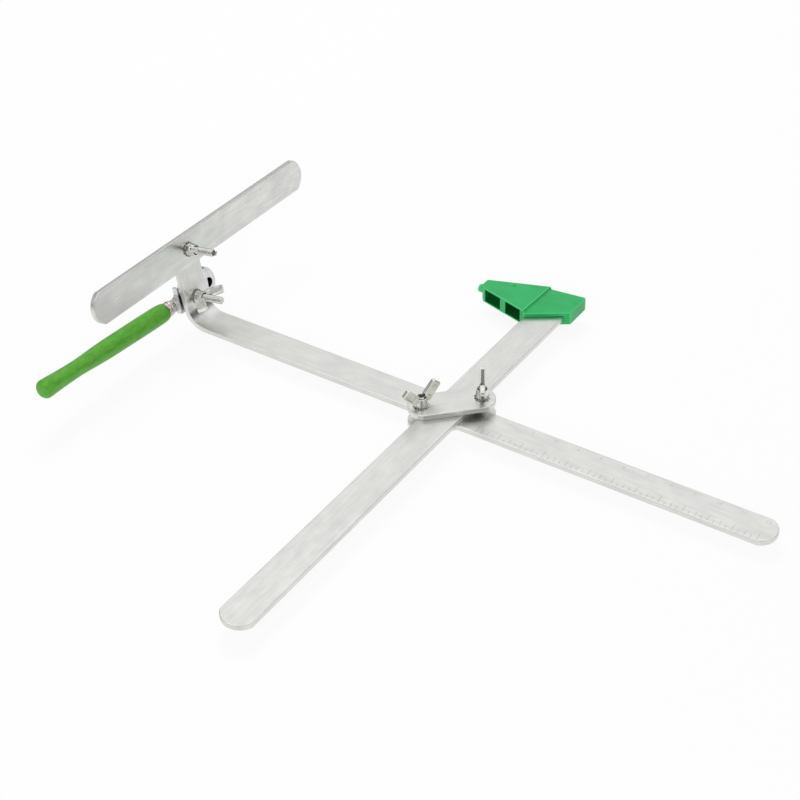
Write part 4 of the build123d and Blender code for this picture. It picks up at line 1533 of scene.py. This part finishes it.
@dataclass
class Studio:
    """White paper floor, soft lamps, the camera, and a white room whose dark flags and window only reflections show.

    Each flag is a direction, where its soft rim starts and ends, and how much it darkens; a window's share is
    below zero, so it brightens. Each band of the room is two heights with the brightness at each. The camera's focal
    length and its frame are in pixels. Distances on the stage are in metres.
    """

    azimuth: float = 34.02
    elevation: float = 37.20
    roll: float = -1.22
    focal: float = 1858.8
    image: float = 800.0
    origin_at: Pair = (451.79, 410.54)
    depth: float = 0.9424
    ambient: float = 0.5
    sensor: float = 36.0
    far: float = 20.0
    floor_half: float = 4.0
    floor_drop: float = 0.0002
    room: tuple[tuple[float, float, float, float], ...] = (
        (0.08, 0.24, 0.03, 1.0),
        (0.12, 0.56, 0.7, 0.9),
        (0.56, 0.72, 1.0, 1.36),
        (0.80, 0.97, 1.0, 0.76),
    )
    flags: tuple[tuple[Triple, float, float, float], ...] = (
        ((0.52, -0.58, 0.63), 0.95, 0.985, 0.95),
        ((-0.95, 0.05, 0.30), 0.80, 0.95, 0.7),
        ((0.72, 0.68, 0.14), 0.86, 0.96, 0.95),
        ((-0.30, 0.00, 0.95), 0.966, 0.99, -2.0),
    )
    lamps: tuple[tuple[str, Triple, float, float], ...] = (
        ("key_lamp", (-0.45, 0.5, 1.1), 0.6, 6.0),
        ("fill_lamp", (0.3, -0.95, 0.6), 0.6, 4.0),
    )

    def camera(self) -> None:
        """Places the camera where the photograph was taken from."""
        azimuth, elevation, roll = (math.radians(a) for a in (self.azimuth, self.elevation, self.roll))
        back = Vector((math.sin(azimuth) * math.cos(elevation), -math.cos(azimuth) * math.cos(elevation),
                       math.sin(elevation)))
        level = (-back).cross(UP).normalized()
        rise = back.cross(level)
        right = math.cos(roll) * level + math.sin(roll) * rise
        up = -math.sin(roll) * level + math.cos(roll) * rise
        across = (self.origin_at[0] - self.image / 2) / self.focal * self.depth
        down = (self.origin_at[1] - self.image / 2) / self.focal * self.depth
        eye = LAYOUT.crossing - right * across + up * down + back * self.depth
        data = bpy.data.cameras.new("studio camera")
        data.sensor_fit = "HORIZONTAL"
        data.sensor_width = self.sensor
        data.lens = self.focal / self.image * self.sensor
        data.clip_end = self.far
        camera = add_object("studio_camera", data)
        camera.matrix_world = Matrix.Translation(eye) @ Matrix((right, up, back)).transposed().to_4x4()
        bpy.context.scene.camera = camera

    def world(self) -> None:
        """Makes the world: white where it is seen or reflected, softer where it only lights."""
        world = bpy.data.worlds.new("studio world")
        world.use_nodes = True
        tree = world.node_tree
        tree.nodes.clear()
        towards = add_node(tree, "ShaderNodeTexCoord").outputs["Generated"]
        height = add_node(tree, "ShaderNodeSeparateXYZ", inputs={"Vector": towards}).outputs["Z"]
        mirrored: float | Node = 1.0
        for low, high, dim, bright in self.room:
            band = add_node(tree, "ShaderNodeMapRange", inputs={
                "Value": height, "From Min": low, "From Max": high, "To Min": dim, "To Max": bright})
            mirrored = add_node(tree, "ShaderNodeMath", {"operation": "MULTIPLY"}, {0: mirrored, 1: band})
        for direction, outer, inner, depth in self.flags:
            near = add_node(tree, "ShaderNodeVectorMath", {"operation": "DOT_PRODUCT"},
                            {0: towards, 1: direction}).outputs["Value"]
            shade = add_node(tree, "ShaderNodeMapRange", inputs={
                "Value": near, "From Min": outer, "From Max": inner, "To Min": 1.0, "To Max": 1.0 - depth})
            mirrored = add_node(tree, "ShaderNodeMath", {"operation": "MULTIPLY"}, {0: mirrored, 1: shade})
        path = add_node(tree, "ShaderNodeLightPath").outputs
        plain_light = add_node(tree, "ShaderNodeMapRange", inputs={"Value": path["Is Camera Ray"],
                                                                   "To Min": self.ambient, "To Max": 1.0})
        bounced = add_node(tree, "ShaderNodeMath", {"operation": "MAXIMUM"},
                           {0: path["Is Glossy Ray"], 1: path["Is Transmission Ray"]})
        strength = add_node(tree, "ShaderNodeMix", inputs={0: bounced, 2: plain_light, 3: mirrored})
        background = add_node(tree, "ShaderNodeBackground", inputs={"Color": linear("#FFFFFF"), "Strength": strength})
        add_node(tree, "ShaderNodeOutputWorld", inputs={"Surface": background})
        bpy.context.scene.world = world

    def floor(self) -> None:
        """Lays the paper under the tool."""
        bm = bmesh.new()
        bmesh.ops.create_grid(bm, x_segments=1, y_segments=1, size=self.floor_half)
        mesh = bpy.data.meshes.new("floor")
        bm.to_mesh(mesh)
        bm.free()
        mesh.transform(Matrix.Translation((0, 0, -self.floor_drop)))
        mesh.materials.append(StudioFloor().build("white studio paper"))
        floor = add_object("floor", mesh)

    def light(self) -> None:
        """Hangs the soft lamps and aims them at the crossing; the metal mirrors the white room, not the lamps."""
        for name, at, size, power in self.lamps:
            data = bpy.data.lights.new(name, "AREA")
            data.shape = "DISK"
            data.size = size
            data.energy = power
            lamp = add_object(name, data)
            lamp.location = at
            lamp.visible_glossy = False
            lamp.rotation_euler = (LAYOUT.crossing - Vector(at)).to_track_quat("-Z", "Y").to_euler()

    def build(self) -> None:
        """Sets the whole stage."""
        self.camera()
        self.world()
        self.floor()
        self.light()
        bpy.context.scene.view_settings.view_transform = "Standard"


def finishes() -> dict[Slot, Material]:
    """Makes every finish once and returns them by slot."""
    return {
        Slot.ALUMINIUM: DrawnAluminium().build("drawn aluminium bar"),
        Slot.BOLT: PlatedMetal("#DCDCD8", "#C6C7C2", (0.14, 0.26)).build("bright zinc plate on steel"),
        Slot.SPRING: PlatedMetal("#D0D1CE", "#AFB0AC", (0.16, 0.3)).build("zinc-plated spring steel"),
        Slot.NUT: PlatedMetal("#E6E6E2", "#D0CFC3", (0.06, 0.16), cloud=4.0).build("nickel plate on cast zinc"),
        Slot.HEAD: PlatedMetal("#DBDBDC", "#BFC0C3", (0.14, 0.28)).build("nickel plate on forged steel"),
        Slot.WHEEL: TurnedMetal("#9A9A9D", "#808084", line=0.12, roughness=(0.16, 0.28)).build("ground hardened steel"),
        Slot.FERRULE: TurnedMetal("#F2EBE0", "#B8AEA2", line=0.45).build("pressed nickel-silver ferrule"),
        Slot.WOOD: PaintedWood().build("green enamel on turned beech"),
        Slot.PLASTIC: MouldedPlastic().build("moulded green ABS"),
    }


def dress_nodes(materials: dict[Slot, Material]) -> None:
    """Gives the CAD nodes that stay their finish.

    Args:
        materials: finishes by slot.
    """
    for node, slot in (("cutter_spacer", Slot.SPRING), ("wheel_pin", Slot.WHEEL)):
        data = frame["nodes"][node].data
        data.materials.clear()
        data.materials.append(materials[slot])
        LOG.info("%s keeps its CAD form", node)


def main() -> None:
    """Builds the stage and every sub-assembly, in order."""
    logging.basicConfig(level=logging.INFO, format="%(name)s: %(message)s")
    Studio().build()
    materials = finishes()
    Arms().build(materials[Slot.ALUMINIUM])
    RuleMarks().build(EtchedLine().build("rolled rule line"),
                      EtchedLine("#C6C7C4", "#D2D3D0").build("faintly rolled rule number"))
    Fasteners().build(materials[Slot.BOLT], materials[Slot.SPRING], materials[Slot.NUT])
    ScoringTool().build(materials)
    CornerGuide().build(materials[Slot.PLASTIC])
    dress_nodes(materials)


if __name__ == "__main__":
    main()
